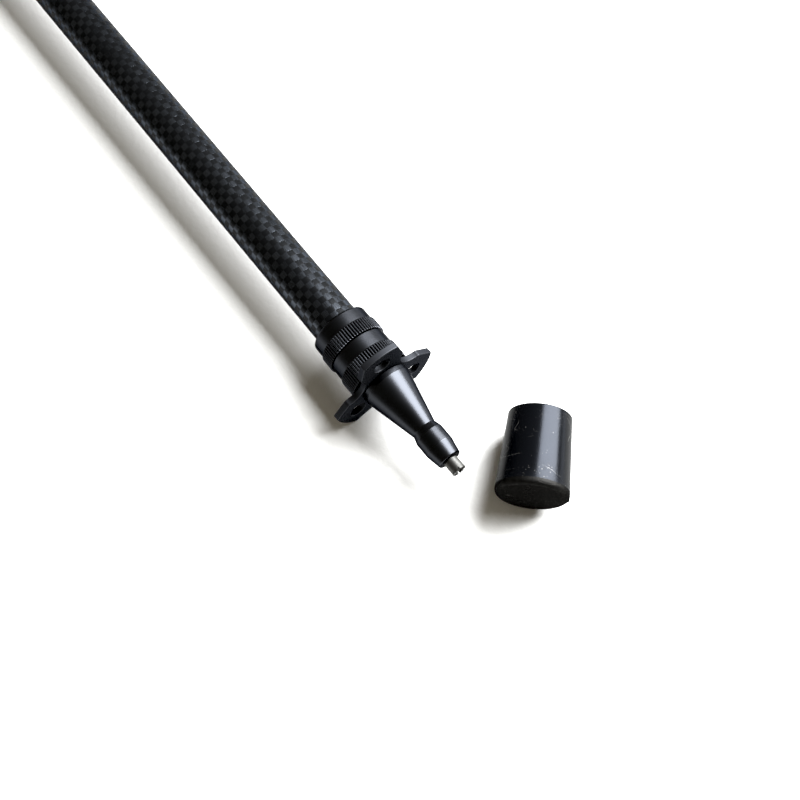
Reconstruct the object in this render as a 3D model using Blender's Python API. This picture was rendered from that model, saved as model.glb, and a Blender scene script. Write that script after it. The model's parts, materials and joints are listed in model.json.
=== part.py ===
"""A telescopic carbon-fibre prism pole for surveying, lying on its side on a bench.

It rests on two of the three ears of its foot plate and on the lugs of its level bracket.
Its rubber boot, pulled off the point, lies beside the tip. Lengths are in metres and +Z is up.
The pole runs along X with its point towards +X. In the pole's own frame X is measured along
the axis from the front face of the foot plate, so most of the pole is at negative X.
"""

import math

import bmesh
import bpy
from mathutils import Matrix, Vector

# Clearances
FACE_GAP = 0.0003  # between two faces that meet, and round a piece that is bonded or screwed in
SLIDE_GAP = 0.0005  # between the inner tube and the bore of the lower tube

# Tubes
TUBE_RADIUS = 0.0125
TUBE_WALL = 0.0015
TUBE_LENGTH = 0.600
INNER_WALL = 0.0015
INNER_LENGTH = 0.540
INNER_SHOWING = 0.024  # bare inner tube between the clamp and the top ferrule when closed

# Foot collar, bonded over the lower end of the tube, and the lock ring on its neck
COLLAR_WALL = 0.0029
SOCKET_FLOOR = 0.0020  # between the tube's end and the shoulder of the neck
KNURL_PROUD = 0.0008
COLLAR_RIM_LENGTH = 0.0080
COLLAR_KNURL_LENGTH = 0.0076
NECK_INSET = 0.0005
RING_GROOVE_LENGTH = 0.0082
RING_KNURL_LENGTH = 0.0098
TURNED_CHAMFER = 0.0004

# Foot plate with three ears
PLATE_THICKNESS = 0.0034
EAR_COUNT = 3
EAR_REACH = 0.0300  # radius of the disc that the ears are cut from
EAR_END_HALF = 0.0100
EAR_SHOULDER_REACH = 0.0176
EAR_SHOULDER_HALF = 0.0128
EAR_CORNER_RADIUS = 0.0010
VALLEY_REACH = 0.0142
EAR_HOLE_REACH = 0.0199
EAR_HOLE_RADIUS = 0.0047

# Turned point and its hard tip
POINT_STUD_RADIUS = 0.0060
POINT_STUD_IN_COLLAR = 0.0120
POINT_STUD_IN_POINT = 0.0120
POINT_BASE_RADIUS = 0.0131
POINT_BASE_LENGTH = 0.0031
WAIST_AT = 0.0320
WAIST_RADIUS = 0.0066
FLARE_LENGTH = 0.0038
BULB_RADIUS = 0.0077
BULB_LENGTH = 0.0080
NOSE_TAPER_LENGTH = 0.0082
NOSE_RADIUS = 0.0062
NOSE_ROUNDING = 0.0008
TIP_RADIUS = 0.0037
TIP_SHOWING = 0.0070
TIP_SHANK_RADIUS = 0.0026
TIP_SHANK_LENGTH = 0.0140
CROWN_DEPTH = 0.0014
CROWN_WALL = 0.0013
CROWN_NOTCHES = 6
CROWN_NOTCH_WIDTH = 0.0010
CROWN_NUB_RADIUS = 0.0012

# Rubber boot
BOOT_BORE_RADIUS = 0.0083
BOOT_MOUTH_WALL = 0.0075
BOOT_FLARE = 0.0024  # how much larger the closed end is than the mouth
BOOT_FLOOR = 0.0061
BOOT_EDGE = 0.0010
BOOT_WASHER_THICKNESS = 0.0015
BOOT_WASHER_HOLE = 0.0030
BOOT_MOUTH_PLACE = (0.0597, 0.0507)  # on the bench, from the foot plate's front
BOOT_HEADING = math.radians(-45.9)

# Lever clamp at the top of the lower tube
CLAMP_WALL = 0.0037
CLAMP_BOND_LENGTH = 0.020
CLAMP_MOUTH_LENGTH = 0.024
CLAMP_SLIT = 0.0022
EAR_BLOCK_LENGTH = 0.020
EAR_BLOCK_HALF = 0.0090
EAR_BLOCK_RISE = 0.0085
CLAMP_BOLT_RADIUS = 0.0022
CLAMP_BOLT_RISE = 0.0035  # of the bolt's axis over the clamp's round body
EYE_RADIUS = 0.0032
EYE_WIDTH = 0.0060
PIN_RADIUS = 0.0015
CAM_RADIUS = 0.0048
CAM_OFFSET = 0.0007
LEVER_WIDTH = 0.014
LEVER_THICKNESS = 0.0032
LEVER_STAND_OFF = 0.0007
LEVER_END_ANGLE = math.radians(-34)
LEVER_ARM_TOP = math.radians(50)  # where the arm leaves the cam, inside and outside
LEVER_BACK_TOP = math.radians(38)
CAM_START = math.radians(-12)
CAM_SWEEP = math.radians(245)
THUMB_NUT_RADIUS = 0.0050
THUMB_NUT_LENGTH = 0.0050
BUSH_FLANGE = 0.0015

# Top ferrule, prism stud and lock nut
FERRULE_WALL = 0.0026
FERRULE_SKIRT_LENGTH = 0.018
FERRULE_NECK_LENGTH = 0.006
FERRULE_NECK_DEPTH = 0.0016
FERRULE_HEAD_LENGTH = 0.012
FERRULE_HEAD_RADIUS = 0.0155
STUD_RADIUS = 0.0079375
STUD_LENGTH = 0.020
STUD_SHANK_RADIUS = 0.0060
STUD_SHANK_LENGTH = 0.013
LOCK_NUT_RADIUS = 0.0145
LOCK_NUT_LENGTH = 0.006

# Guide plug at the lower end of the inner tube
GUIDE_SHANK_LENGTH = 0.015
GUIDE_FLANGE_LENGTH = 0.004

# Circular level and its bracket
BRACKET_AT = 0.060  # from the top of the lower tube down to the middle of the bracket
BRACKET_WALL = 0.0037
BRACKET_LENGTH = 0.012
BRACKET_LUG_CLEAR = 0.0024  # from the ring, beside the pinch screw's head, out to the lug's face
BRACKET_SLIT = 0.0020
SHELF_THICKNESS = 0.0040
LEVEL_REACH = 0.0350
LEVEL_CUP_RADIUS = 0.0150
LEVEL_CUP_HEIGHT = 0.0110
LEVEL_CUP_WALL = 0.0022
LEVEL_CUP_FLOOR = 0.0045
LEVEL_STAND_OFF = 0.0020
VIAL_DOME = 0.0012
LEVEL_SCREWS = 3
LEVEL_SCREW_CIRCLE = 0.0105
LEVEL_SCREW_RADIUS = 0.0013
LEVEL_SCREW_HEAD = 0.0026
SCREW_HEAD_LENGTH = 0.0020
PINCH_SCREW_RADIUS = 0.0018
PINCH_HEAD_RADIUS = 0.0032
PINCH_HEAD_CLEAR = 0.0006  # from the screw's head up from the lugs' feet

SEGMENTS = 40  # round a large turned piece
SMALL_SEGMENTS = 20

# Sizes that follow from those above
TUBE_BORE = TUBE_RADIUS - TUBE_WALL
INNER_RADIUS = TUBE_BORE - SLIDE_GAP
INNER_BORE = INNER_RADIUS - INNER_WALL
SOCKET_RADIUS = TUBE_RADIUS + FACE_GAP
COLLAR_RADIUS = SOCKET_RADIUS + COLLAR_WALL
KNURL_RADIUS = COLLAR_RADIUS + KNURL_PROUD
NECK_RADIUS = TUBE_RADIUS - NECK_INSET
CLAMP_RADIUS = SOCKET_RADIUS + CLAMP_WALL
BRACKET_RADIUS = SOCKET_RADIUS + BRACKET_WALL

RING_FRONT = -PLATE_THICKNESS - FACE_GAP
RING_BACK = RING_FRONT - RING_KNURL_LENGTH - RING_GROOVE_LENGTH
COLLAR_SHOULDER = RING_BACK - FACE_GAP
COLLAR_BACK = COLLAR_SHOULDER - COLLAR_KNURL_LENGTH - COLLAR_RIM_LENGTH
TUBE_FOOT = COLLAR_SHOULDER - SOCKET_FLOOR - FACE_GAP
TUBE_TOP = TUBE_FOOT - TUBE_LENGTH
CLAMP_MOUTH = TUBE_TOP - CLAMP_MOUTH_LENGTH
BUSH_END = CLAMP_MOUTH - FACE_GAP - BUSH_FLANGE
FERRULE_SKIRT = BUSH_END - INNER_SHOWING
INNER_TOP = FERRULE_SKIRT - FERRULE_SKIRT_LENGTH
FERRULE_TOP = INNER_TOP - FACE_GAP - FERRULE_NECK_LENGTH - FERRULE_HEAD_LENGTH
INNER_FOOT = INNER_TOP + INNER_LENGTH

POINT_BACK = FACE_GAP
CONE_START = POINT_BACK + POINT_BASE_LENGTH
FLARE_END = WAIST_AT + FLARE_LENGTH
BULB_END = FLARE_END + BULB_LENGTH
NOSE_END = BULB_END + NOSE_TAPER_LENGTH
TIP_END = NOSE_END + FACE_GAP + TIP_SHOWING


def metal(name, colour, roughness, metallic):
    """A plain finish."""
    finish = bpy.data.materials.new(name)
    finish.use_nodes = True
    shader = finish.node_tree.nodes["Principled BSDF"]
    shader.inputs["Base Color"].default_value = (*colour, 1)
    shader.inputs["Roughness"].default_value = roughness
    shader.inputs["Metallic"].default_value = metallic
    return finish


def finish_of(kind, node):
    """The finish of one sub-part, in a material of its own."""
    colour, roughness, metallic = {
        "carbon": ((0.020, 0.021, 0.024), 0.32, 0.0),
        "black_anodised": ((0.014, 0.014, 0.016), 0.38, 0.85),
        "bright_steel": ((0.62, 0.62, 0.64), 0.25, 1.0),
        "zinc_steel": ((0.50, 0.50, 0.52), 0.35, 1.0),
        "rubber": ((0.022, 0.022, 0.023), 0.55, 0.0),
        "black_nylon": ((0.018, 0.018, 0.020), 0.50, 0.0),
        "vial": ((0.55, 0.72, 0.25), 0.05, 0.0),
    }[kind]
    return metal(f"{node}_{kind}", colour, roughness, metallic)


def empty(name, parent=None, matrix=None):
    frame = bpy.data.objects.new(name, None)
    bpy.context.scene.collection.objects.link(frame)
    frame.empty_display_size = 0.02
    frame.parent = parent
    if matrix is not None:
        frame.matrix_local = matrix
    return frame


def add(name, mesh, kind, parent, place=(0, 0, 0)):
    """Puts one sub-part into the scene, at a place in its parent's frame."""
    piece = bpy.data.objects.new(name, mesh)
    bpy.context.scene.collection.objects.link(piece)
    piece.parent = parent
    piece.location = place
    mesh.materials.append(finish_of(kind, name))
    mesh.shade_smooth()
    mesh.set_sharp_from_angle(angle=math.radians(35))
    return piece


def finished(name, bm):
    bmesh.ops.remove_doubles(bm, verts=bm.verts, dist=1e-7)
    bmesh.ops.dissolve_degenerate(bm, edges=bm.edges, dist=1e-7)
    bmesh.ops.recalc_face_normals(bm, faces=bm.faces)
    mesh = bpy.data.meshes.new(name)
    bm.to_mesh(mesh)
    bm.free()
    return mesh


def turned(name, outline, segments=SEGMENTS):
    """A mesh turned about X from a closed outline of (x, radius) points."""
    bm = bmesh.new()
    points = [bm.verts.new((x, 0, radius)) for x, radius in outline]
    edges = []
    for first, second in zip(points, points[1:] + points[:1]):
        if first.co.z > 0 or second.co.z > 0:
            edges.append(bm.edges.new((first, second)))
    bmesh.ops.spin(
        bm,
        geom=points + edges,
        cent=(0, 0, 0),
        axis=(1, 0, 0),
        angle=2 * math.pi,
        steps=segments,
        use_merge=True,
    )
    return finished(name, bm)


def ring_outline(start, end, inner, outer, chamfer=TURNED_CHAMFER):
    """The outline of a plain ring between two places along the axis."""
    return [
        (start, inner),
        (start, outer - chamfer),
        (start + chamfer, outer),
        (end - chamfer, outer),
        (end, outer - chamfer),
        (end, inner),
    ]


def circle(centre, radius, segments=SMALL_SEGMENTS, start=0.0, sweep=2 * math.pi):
    """Points along a circle, or with a sweep along an arc with both its ends, in (y, z)."""
    whole = abs(sweep) >= 2 * math.pi
    steps = segments if whole else segments + 1
    turn = sweep / segments
    return [
        (
            centre[0] + radius * math.cos(start + turn * step),
            centre[1] + radius * math.sin(start + turn * step),
        )
        for step in range(steps)
    ]


def extruded(name, outline, start, end, holes=()):
    """A mesh with a (y, z) outline and round or shaped holes, from one X to another."""
    bm = bmesh.new()
    for loop in (outline, *holes):
        points = [bm.verts.new((start, y, z)) for y, z in loop]
        for first, second in zip(points, points[1:] + points[:1]):
            bm.edges.new((first, second))
    bmesh.ops.triangle_fill(bm, use_beauty=True, edges=bm.edges, normal=(1, 0, 0))
    grown = bmesh.ops.extrude_face_region(bm, geom=bm.faces[:], use_keep_orig=True)
    moved = [item for item in grown["geom"] if isinstance(item, bmesh.types.BMVert)]
    bmesh.ops.translate(bm, verts=moved, vec=(end - start, 0, 0))
    return finished(name, bm)


def box(name, low, high):
    bm = bmesh.new()
    bmesh.ops.create_cube(bm, size=1)
    size = Vector(high) - Vector(low)
    bmesh.ops.scale(bm, vec=size, verts=bm.verts)
    bmesh.ops.translate(bm, verts=bm.verts, vec=Vector(low) + size / 2)
    return finished(name, bm)


def rod_along_y(name, start, end, radius, x, z, segments=SMALL_SEGMENTS):
    """A plain rod along Y."""
    mesh = turned(name, [(start, 0), (start, radius), (end, radius), (end, 0)], segments)
    mesh.transform(Matrix.Translation((x, 0, z)) @ Matrix.Rotation(math.pi / 2, 4, "Z"))
    return mesh


def helper(piece, name, mesh):
    """A hidden shape that a Boolean reads, in the same frame as its piece."""
    shape = bpy.data.objects.new(name, mesh)
    bpy.context.scene.collection.objects.link(shape)
    shape.parent = piece.parent
    shape.location = piece.location
    shape.hide_render = True
    shape.display_type = "WIRE"
    return shape


def combine(piece, name, mesh, operation):
    boolean = piece.modifiers.new(name, "BOOLEAN")
    boolean.solver = "EXACT"
    boolean.operation = operation
    boolean.object = helper(piece, f"{piece.name}_{name}", mesh)


def cut(piece, name, mesh):
    combine(piece, name, mesh, "DIFFERENCE")


def join(piece, name, mesh):
    combine(piece, name, mesh, "UNION")


def ear_corners():
    """The right half of an ear that points along +Z: the corner of its end, then its shoulder."""
    end_height = math.sqrt(EAR_REACH**2 - EAR_END_HALF**2)
    return (EAR_END_HALF, end_height), (EAR_SHOULDER_HALF, EAR_SHOULDER_REACH)


def rounded_corner(before, corner, after, radius, steps=4):
    """Points of an arc that rounds one corner of an outline."""
    corner = Vector(corner)
    into = (Vector(before) - corner).normalized()
    out = (Vector(after) - corner).normalized()
    half = into.angle(out) / 2
    centre = corner + (into + out).normalized() * radius / math.sin(half)
    first = corner + into * radius / math.tan(half) - centre
    last = corner + out * radius / math.tan(half) - centre
    turn = first.angle_signed(last)
    return [
        tuple(centre + Matrix.Rotation(-turn * step / steps, 2) @ first)
        for step in range(steps + 1)
    ]


def valley_arc(steps=10):
    """The scallop between two ears: an arc through both shoulders and the valley's floor."""
    shoulder = Vector(ear_corners()[1])
    bisector = math.pi / 2 - math.pi / EAR_COUNT
    along = Vector((math.cos(bisector), math.sin(bisector)))
    half_chord = abs(shoulder.x * along.y - shoulder.y * along.x)
    depth = shoulder.dot(along) - VALLEY_REACH
    radius = (half_chord**2 + depth**2) / (2 * depth)
    centre = along * (VALLEY_REACH + radius)
    first = shoulder - centre
    sweep = 2 * (math.pi - math.acos(max(-1.0, min(1.0, first.normalized().dot(along)))))
    return [
        tuple(centre + Matrix.Rotation(sweep * step / steps, 2) @ first)
        for step in range(1, steps)
    ]


def plate_outline():
    """The foot plate's edge, clockwise, starting at the ear that points up."""
    end, shoulder = ear_corners()
    mirrored_end = (-end[0], end[1])
    mirrored_shoulder = (-shoulder[0], shoulder[1])
    half = math.asin(EAR_END_HALF / EAR_REACH)
    crown = circle((0, 0), EAR_REACH, 8, math.pi / 2 + half, -2 * half)[1:-1]
    ear = [
        mirrored_shoulder,
        *rounded_corner(mirrored_shoulder, mirrored_end, crown[0], EAR_CORNER_RADIUS),
        *crown[1:-1],
        *rounded_corner(crown[-1], end, shoulder, EAR_CORNER_RADIUS),
        shoulder,
        *valley_arc(),
    ]
    outline = []
    for number in range(EAR_COUNT):
        turn = Matrix.Rotation(-2 * math.pi * number / EAR_COUNT, 2)
        outline += [tuple(turn @ Vector(point)) for point in ear]
    return outline


AXIS_HEIGHT = -min(z for _, z in plate_outline())


def make_lower_tube(pole):
    outline = [
        (0, TUBE_BORE),
        (0, TUBE_RADIUS),
        (TUBE_LENGTH, TUBE_RADIUS),
        (TUBE_LENGTH, TUBE_BORE),
    ]
    add("lower_tube", turned("lower_tube", outline), "carbon", pole, (TUBE_TOP, 0, 0))


def make_foot_collar(pole):
    """The socket for the tube, its rounded rim and knurled band, and the threaded neck."""
    neck_end = -COLLAR_BACK + RING_FRONT
    shoulder = -COLLAR_BACK + COLLAR_SHOULDER
    socket = shoulder - SOCKET_FLOOR
    knurl = COLLAR_RIM_LENGTH
    hole = POINT_STUD_RADIUS + FACE_GAP
    outline = [
        (0, SOCKET_RADIUS),
        (0, COLLAR_RADIUS - 3 * TURNED_CHAMFER),
        (TURNED_CHAMFER, COLLAR_RADIUS - TURNED_CHAMFER),
        (3 * TURNED_CHAMFER, COLLAR_RADIUS),
        (knurl, COLLAR_RADIUS),
        (knurl, KNURL_RADIUS - TURNED_CHAMFER),
        (knurl + TURNED_CHAMFER, KNURL_RADIUS),
        (shoulder - TURNED_CHAMFER, KNURL_RADIUS),
        (shoulder, KNURL_RADIUS - TURNED_CHAMFER),
        (shoulder, NECK_RADIUS),
        (neck_end, NECK_RADIUS),
        (neck_end, hole),
        (socket, hole),
        (socket, SOCKET_RADIUS),
    ]
    mesh = turned("foot_collar", outline)
    add("foot_collar", mesh, "black_anodised", pole, (COLLAR_BACK, 0, 0))


def make_lock_ring(pole):
    """The ring with a smooth waist and a knurled band that jams the plate against the point."""
    bore = NECK_RADIUS + FACE_GAP
    length = RING_GROOVE_LENGTH + RING_KNURL_LENGTH
    outline = [
        (0, bore),
        (0, COLLAR_RADIUS - TURNED_CHAMFER),
        (TURNED_CHAMFER, COLLAR_RADIUS),
        (RING_GROOVE_LENGTH, COLLAR_RADIUS),
        (RING_GROOVE_LENGTH, KNURL_RADIUS - TURNED_CHAMFER),
        (RING_GROOVE_LENGTH + TURNED_CHAMFER, KNURL_RADIUS),
        (length - TURNED_CHAMFER, KNURL_RADIUS),
        (length, KNURL_RADIUS - TURNED_CHAMFER),
        (length, bore),
    ]
    add("lock_ring", turned("lock_ring", outline), "black_anodised", pole, (RING_BACK, 0, 0))


def make_eared_plate(pole):
    """The plate that keeps the point from sinking, with a hole in each ear for a peg or line."""
    holes = [circle((0, 0), POINT_STUD_RADIUS + FACE_GAP)]
    for number in range(EAR_COUNT):
        turn = math.pi / 2 + 2 * math.pi * number / EAR_COUNT
        centre = (EAR_HOLE_REACH * math.cos(turn), EAR_HOLE_REACH * math.sin(turn))
        holes.append(circle(centre, EAR_HOLE_RADIUS))
    mesh = extruded("eared_plate", plate_outline(), -PLATE_THICKNESS, 0, holes)
    add("eared_plate", mesh, "black_anodised", pole)


def make_point_stud(pole):
    """The threaded stud that holds the point to the collar, through the plate."""
    back = -PLATE_THICKNESS - POINT_STUD_IN_COLLAR
    outline = [
        (back, 0),
        *ring_outline(back, POINT_STUD_IN_POINT, 0, POINT_STUD_RADIUS)[1:-1],
        (POINT_STUD_IN_POINT, 0),
    ]
    add("point_stud", turned("point_stud", outline, SMALL_SEGMENTS), "zinc_steel", pole)


def make_point_body(pole):
    """The turned point: a base step, a long cone, a waist, a bulb and a tapered nose."""
    stud_hole = POINT_STUD_RADIUS + FACE_GAP
    stud_floor = POINT_STUD_IN_POINT + FACE_GAP
    tip_hole = TIP_SHANK_RADIUS + FACE_GAP
    tip_floor = NOSE_END - TIP_SHANK_LENGTH - FACE_GAP
    outline = [
        (POINT_BACK, stud_hole),
        (POINT_BACK, POINT_BASE_RADIUS - TURNED_CHAMFER),
        (POINT_BACK + TURNED_CHAMFER, POINT_BASE_RADIUS),
        (CONE_START, POINT_BASE_RADIUS),
        (WAIST_AT, WAIST_RADIUS),
        (FLARE_END, BULB_RADIUS),
        (BULB_END, BULB_RADIUS),
        (NOSE_END - NOSE_ROUNDING, NOSE_RADIUS),
        (NOSE_END - 0.3 * NOSE_ROUNDING, NOSE_RADIUS - 0.3 * NOSE_ROUNDING),
        (NOSE_END, NOSE_RADIUS - NOSE_ROUNDING),
        (NOSE_END, tip_hole),
        (tip_floor, tip_hole),
        (tip_floor, 0),
        (stud_floor, 0),
        (stud_floor, stud_hole),
    ]
    add("point_body", turned("point_body", outline), "black_anodised", pole)


def make_tip_insert(pole):
    """The hard tip: a shank in the point, and a head with a notched crown round a small nub."""
    head = NOSE_END + FACE_GAP
    back = NOSE_END - TIP_SHANK_LENGTH
    floor = TIP_END - CROWN_DEPTH
    inner = TIP_RADIUS - CROWN_WALL
    nub = min(CROWN_NUB_RADIUS, 0.5 * inner)
    outline = [
        (back, 0),
        (back, TIP_SHANK_RADIUS),
        (head, TIP_SHANK_RADIUS),
        (head, TIP_RADIUS),
        (TIP_END - 0.5 * TURNED_CHAMFER, TIP_RADIUS),
        (TIP_END, TIP_RADIUS - 0.5 * TURNED_CHAMFER),
        (TIP_END, inner + 0.5 * TURNED_CHAMFER),
        (floor, inner),
        (floor, nub),
        (TIP_END, 0.6 * nub),
        (TIP_END, 0),
    ]
    tip = add("tip_insert", turned("tip_insert", outline, 24), "bright_steel", pole)
    for number in range(CROWN_NOTCHES):
        turn = Matrix.Rotation(2 * math.pi * number / CROWN_NOTCHES, 4, "X")
        low = (floor, -CROWN_NOTCH_WIDTH / 2, 0.5 * (inner + nub))
        high = (TIP_END + CROWN_DEPTH, CROWN_NOTCH_WIDTH / 2, 2 * TIP_RADIUS)
        notch = box("notch", low, high)
        notch.transform(turn)
        cut(tip, f"notch_{number + 1}", notch)


def make_rubber_boot(bench):
    """The boot on its side. It touches the bench along one line of its tapered outside."""
    seat = CONE_START + (POINT_BASE_RADIUS - BOOT_BORE_RADIUS) / (
        POINT_BASE_RADIUS - WAIST_RADIUS
    ) * (WAIST_AT - CONE_START)
    washer_face = TIP_END - seat
    bore_floor = washer_face + BOOT_WASHER_THICKNESS + FACE_GAP
    length = bore_floor + BOOT_FLOOR
    mouth = BOOT_BORE_RADIUS + BOOT_MOUTH_WALL
    base = mouth + BOOT_FLARE
    slope = math.atan2(BOOT_FLARE, length)
    heading = Matrix.Rotation(BOOT_HEADING, 4, "Z") @ Matrix.Rotation(-slope, 4, "Y")
    place = Vector((*BOOT_MOUTH_PLACE, mouth * math.cos(slope)))
    frame = empty("boot_frame", bench, Matrix.Translation(place) @ heading)

    def outside(x):
        return mouth + BOOT_FLARE * x / length

    outline = [
        (0, BOOT_BORE_RADIUS),
        (0, mouth - BOOT_EDGE),
        (0.3 * BOOT_EDGE, mouth - 0.3 * BOOT_EDGE),
        (BOOT_EDGE, outside(BOOT_EDGE)),
        (length - BOOT_EDGE, outside(length - BOOT_EDGE)),
        (length - 0.3 * BOOT_EDGE, base - 0.3 * BOOT_EDGE),
        (length, base - BOOT_EDGE),
        (length, 0),
        (bore_floor, 0),
        (bore_floor, BOOT_BORE_RADIUS),
    ]
    add("rubber_boot", turned("rubber_boot", outline), "rubber", frame)
    radius = BOOT_BORE_RADIUS - FACE_GAP
    washer = ring_outline(washer_face, bore_floor - FACE_GAP, BOOT_WASHER_HOLE, radius)
    add("boot_washer", turned("boot_washer", washer), "zinc_steel", frame)


def clamp_bolt_height():
    return CLAMP_RADIUS + CLAMP_BOLT_RISE


def lever_pivot():
    """Where the lever's pin crosses the bolt, in (y, z)."""
    return EAR_BLOCK_HALF + FACE_GAP + CAM_RADIUS + CAM_OFFSET, clamp_bolt_height()


def clamp_ears_at():
    return CLAMP_MOUTH + EAR_BLOCK_LENGTH / 2


def make_clamp_body(pole):
    """A collar bonded over the tube's top, with a split mouth and two ears for the bolt."""
    length = CLAMP_BOND_LENGTH + CLAMP_MOUTH_LENGTH
    outline = ring_outline(0, length, SOCKET_RADIUS, CLAMP_RADIUS, 2 * TURNED_CHAMFER)
    mesh = turned("clamp_body", outline)
    clamp = add("clamp_body", mesh, "black_anodised", pole, (CLAMP_MOUTH, 0, 0))
    top = CLAMP_RADIUS + EAR_BLOCK_RISE
    root = 0.5 * (SOCKET_RADIUS + CLAMP_RADIUS)
    corner = 4 * TURNED_CHAMFER
    ears = [
        (-EAR_BLOCK_HALF, root),
        (-EAR_BLOCK_HALF, top - corner),
        (-EAR_BLOCK_HALF + corner, top),
        (EAR_BLOCK_HALF - corner, top),
        (EAR_BLOCK_HALF, top - corner),
        (EAR_BLOCK_HALF, root),
    ]
    foot = SOCKET_RADIUS * math.cos(math.asin(EAR_BLOCK_HALF / SOCKET_RADIUS))
    ears += circle(
        (0, 0),
        0.5 * (foot + root) / math.cos(math.asin(EAR_BLOCK_HALF / CLAMP_RADIUS)),
        6,
        math.radians(60),
        math.radians(60),
    )
    block = extruded("ears", ears, 2 * TURNED_CHAMFER, EAR_BLOCK_LENGTH)
    join(clamp, "ears", block)
    half = CLAMP_SLIT / 2
    low = (-CLAMP_SLIT, -half, SOCKET_RADIUS / 2)
    high = (CLAMP_MOUTH_LENGTH, half, 2 * top)
    cut(clamp, "slit", box("slit", low, high))
    reach = 2 * EAR_BLOCK_HALF
    radius = CLAMP_BOLT_RADIUS + FACE_GAP
    hole = rod_along_y(
        "bolt_hole", -reach, reach, radius, EAR_BLOCK_LENGTH / 2, clamp_bolt_height()
    )
    cut(clamp, "bolt_hole", hole)


def make_clamp_bush(pole):
    """The split nylon bush that grips the inner tube, with a flange over the clamp's mouth."""
    inner = INNER_RADIUS + FACE_GAP
    outer = TUBE_RADIUS
    end = TUBE_TOP - FACE_GAP - BUSH_END
    flange = BUSH_FLANGE
    outline = [
        (0, inner),
        (0, CLAMP_RADIUS - 3 * TURNED_CHAMFER),
        (2 * TURNED_CHAMFER, CLAMP_RADIUS - TURNED_CHAMFER),
        (flange, CLAMP_RADIUS - TURNED_CHAMFER),
        (flange, outer),
        (end, outer),
        (end, inner),
    ]
    bush = add("clamp_bush", turned("clamp_bush", outline), "black_nylon", pole, (BUSH_END, 0, 0))
    low = (-flange, -CLAMP_SLIT / 2, 0)
    high = (2 * end, CLAMP_SLIT / 2, 2 * CLAMP_RADIUS)
    cut(bush, "slit", box("slit", low, high))


def make_clamp_bolt(pole):
    """An eye bolt: its eye takes the lever's pin and its far end takes the thumb nut."""
    pivot_y, pivot_z = lever_pivot()
    end = -EAR_BLOCK_HALF - FACE_GAP - THUMB_NUT_LENGTH + TURNED_CHAMFER
    place = (clamp_ears_at(), 0, 0)
    shaft = rod_along_y("clamp_bolt", end, pivot_y - EYE_RADIUS / 2, CLAMP_BOLT_RADIUS, 0, pivot_z)
    bolt = add("clamp_bolt", shaft, "zinc_steel", pole, place)
    half = EYE_WIDTH / 2
    eye = extruded("eye", circle((pivot_y, pivot_z), EYE_RADIUS), -half, half)
    join(bolt, "eye", eye)
    hole = circle((pivot_y, pivot_z), PIN_RADIUS + FACE_GAP)
    cut(bolt, "pin_hole", extruded("pin_hole", hole, -EYE_WIDTH, EYE_WIDTH))


def make_thumb_nut(pole):
    """The round nut that sets how hard the lever bites."""
    outline = ring_outline(
        0, THUMB_NUT_LENGTH, CLAMP_BOLT_RADIUS + FACE_GAP, THUMB_NUT_RADIUS
    )
    mesh = turned("thumb_nut", outline, SMALL_SEGMENTS)
    mesh.transform(Matrix.Rotation(-math.pi / 2, 4, "Z"))
    place = (clamp_ears_at(), -EAR_BLOCK_HALF - FACE_GAP, clamp_bolt_height())
    add("thumb_nut", mesh, "black_anodised", pole, place)


def lever_outline():
    """The lever's side view round its pivot, in (y, z): a cam and an arm that hugs the clamp."""
    pivot_y, pivot_z = lever_pivot()
    inner = CLAMP_RADIUS + LEVER_STAND_OFF
    outer = inner + LEVER_THICKNESS
    cam = circle((pivot_y - CAM_OFFSET, pivot_z), CAM_RADIUS, 16, CAM_START, CAM_SWEEP)
    arm_inside = circle((0, 0), inner, 14, LEVER_ARM_TOP, LEVER_END_ANGLE - LEVER_ARM_TOP)
    arm_outside = circle((0, 0), outer, 12, LEVER_END_ANGLE, LEVER_BACK_TOP - LEVER_END_ANGLE)
    return [(y - pivot_y, z - pivot_z) for y, z in (*cam, *arm_inside, *arm_outside)]


def make_clamp_lever(pole):
    """The lever, forked round the bolt's eye. Its origin is on its pin."""
    pivot_y, pivot_z = lever_pivot()
    place = (clamp_ears_at(), pivot_y, pivot_z)
    half = LEVER_WIDTH / 2
    hole = circle((0, 0), PIN_RADIUS + FACE_GAP)
    mesh = extruded("clamp_lever", lever_outline(), -half, half, [hole])
    lever = add("clamp_lever", mesh, "black_anodised", pole, place)
    slot = EYE_WIDTH / 2 + FACE_GAP
    reach = 2 * CAM_RADIUS
    low = (-slot, -reach, -EYE_RADIUS - FACE_GAP)
    cut(lever, "fork", box("fork", low, (slot, reach, reach)))
    pin = ring_outline(-half, half, 0, PIN_RADIUS, TURNED_CHAMFER / 2)
    pin_mesh = turned("lever_pin", pin, SMALL_SEGMENTS)
    add("lever_pin", pin_mesh, "bright_steel", pole, place)


def make_inner_tube(pole):
    outline = [
        (0, INNER_BORE),
        (0, INNER_RADIUS),
        (INNER_LENGTH, INNER_RADIUS),
        (INNER_LENGTH, INNER_BORE),
    ]
    add("inner_tube", turned("inner_tube", outline), "carbon", pole, (INNER_TOP, 0, 0))


def make_guide_plug(pole):
    """The nylon plug that closes the inner tube's lower end and guides it in the lower tube."""
    shank = INNER_BORE - FACE_GAP
    flange = TUBE_BORE - FACE_GAP
    end = GUIDE_SHANK_LENGTH + FACE_GAP + GUIDE_FLANGE_LENGTH
    outline = [
        (0, 0),
        (0, shank - TURNED_CHAMFER),
        (TURNED_CHAMFER, shank),
        (GUIDE_SHANK_LENGTH + FACE_GAP, shank),
        (GUIDE_SHANK_LENGTH + FACE_GAP, flange),
        (end - TURNED_CHAMFER, flange),
        (end, flange - TURNED_CHAMFER),
        (end, 0),
    ]
    place = (INNER_FOOT - GUIDE_SHANK_LENGTH, 0, 0)
    add("guide_plug", turned("guide_plug", outline), "black_nylon", pole, place)


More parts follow.
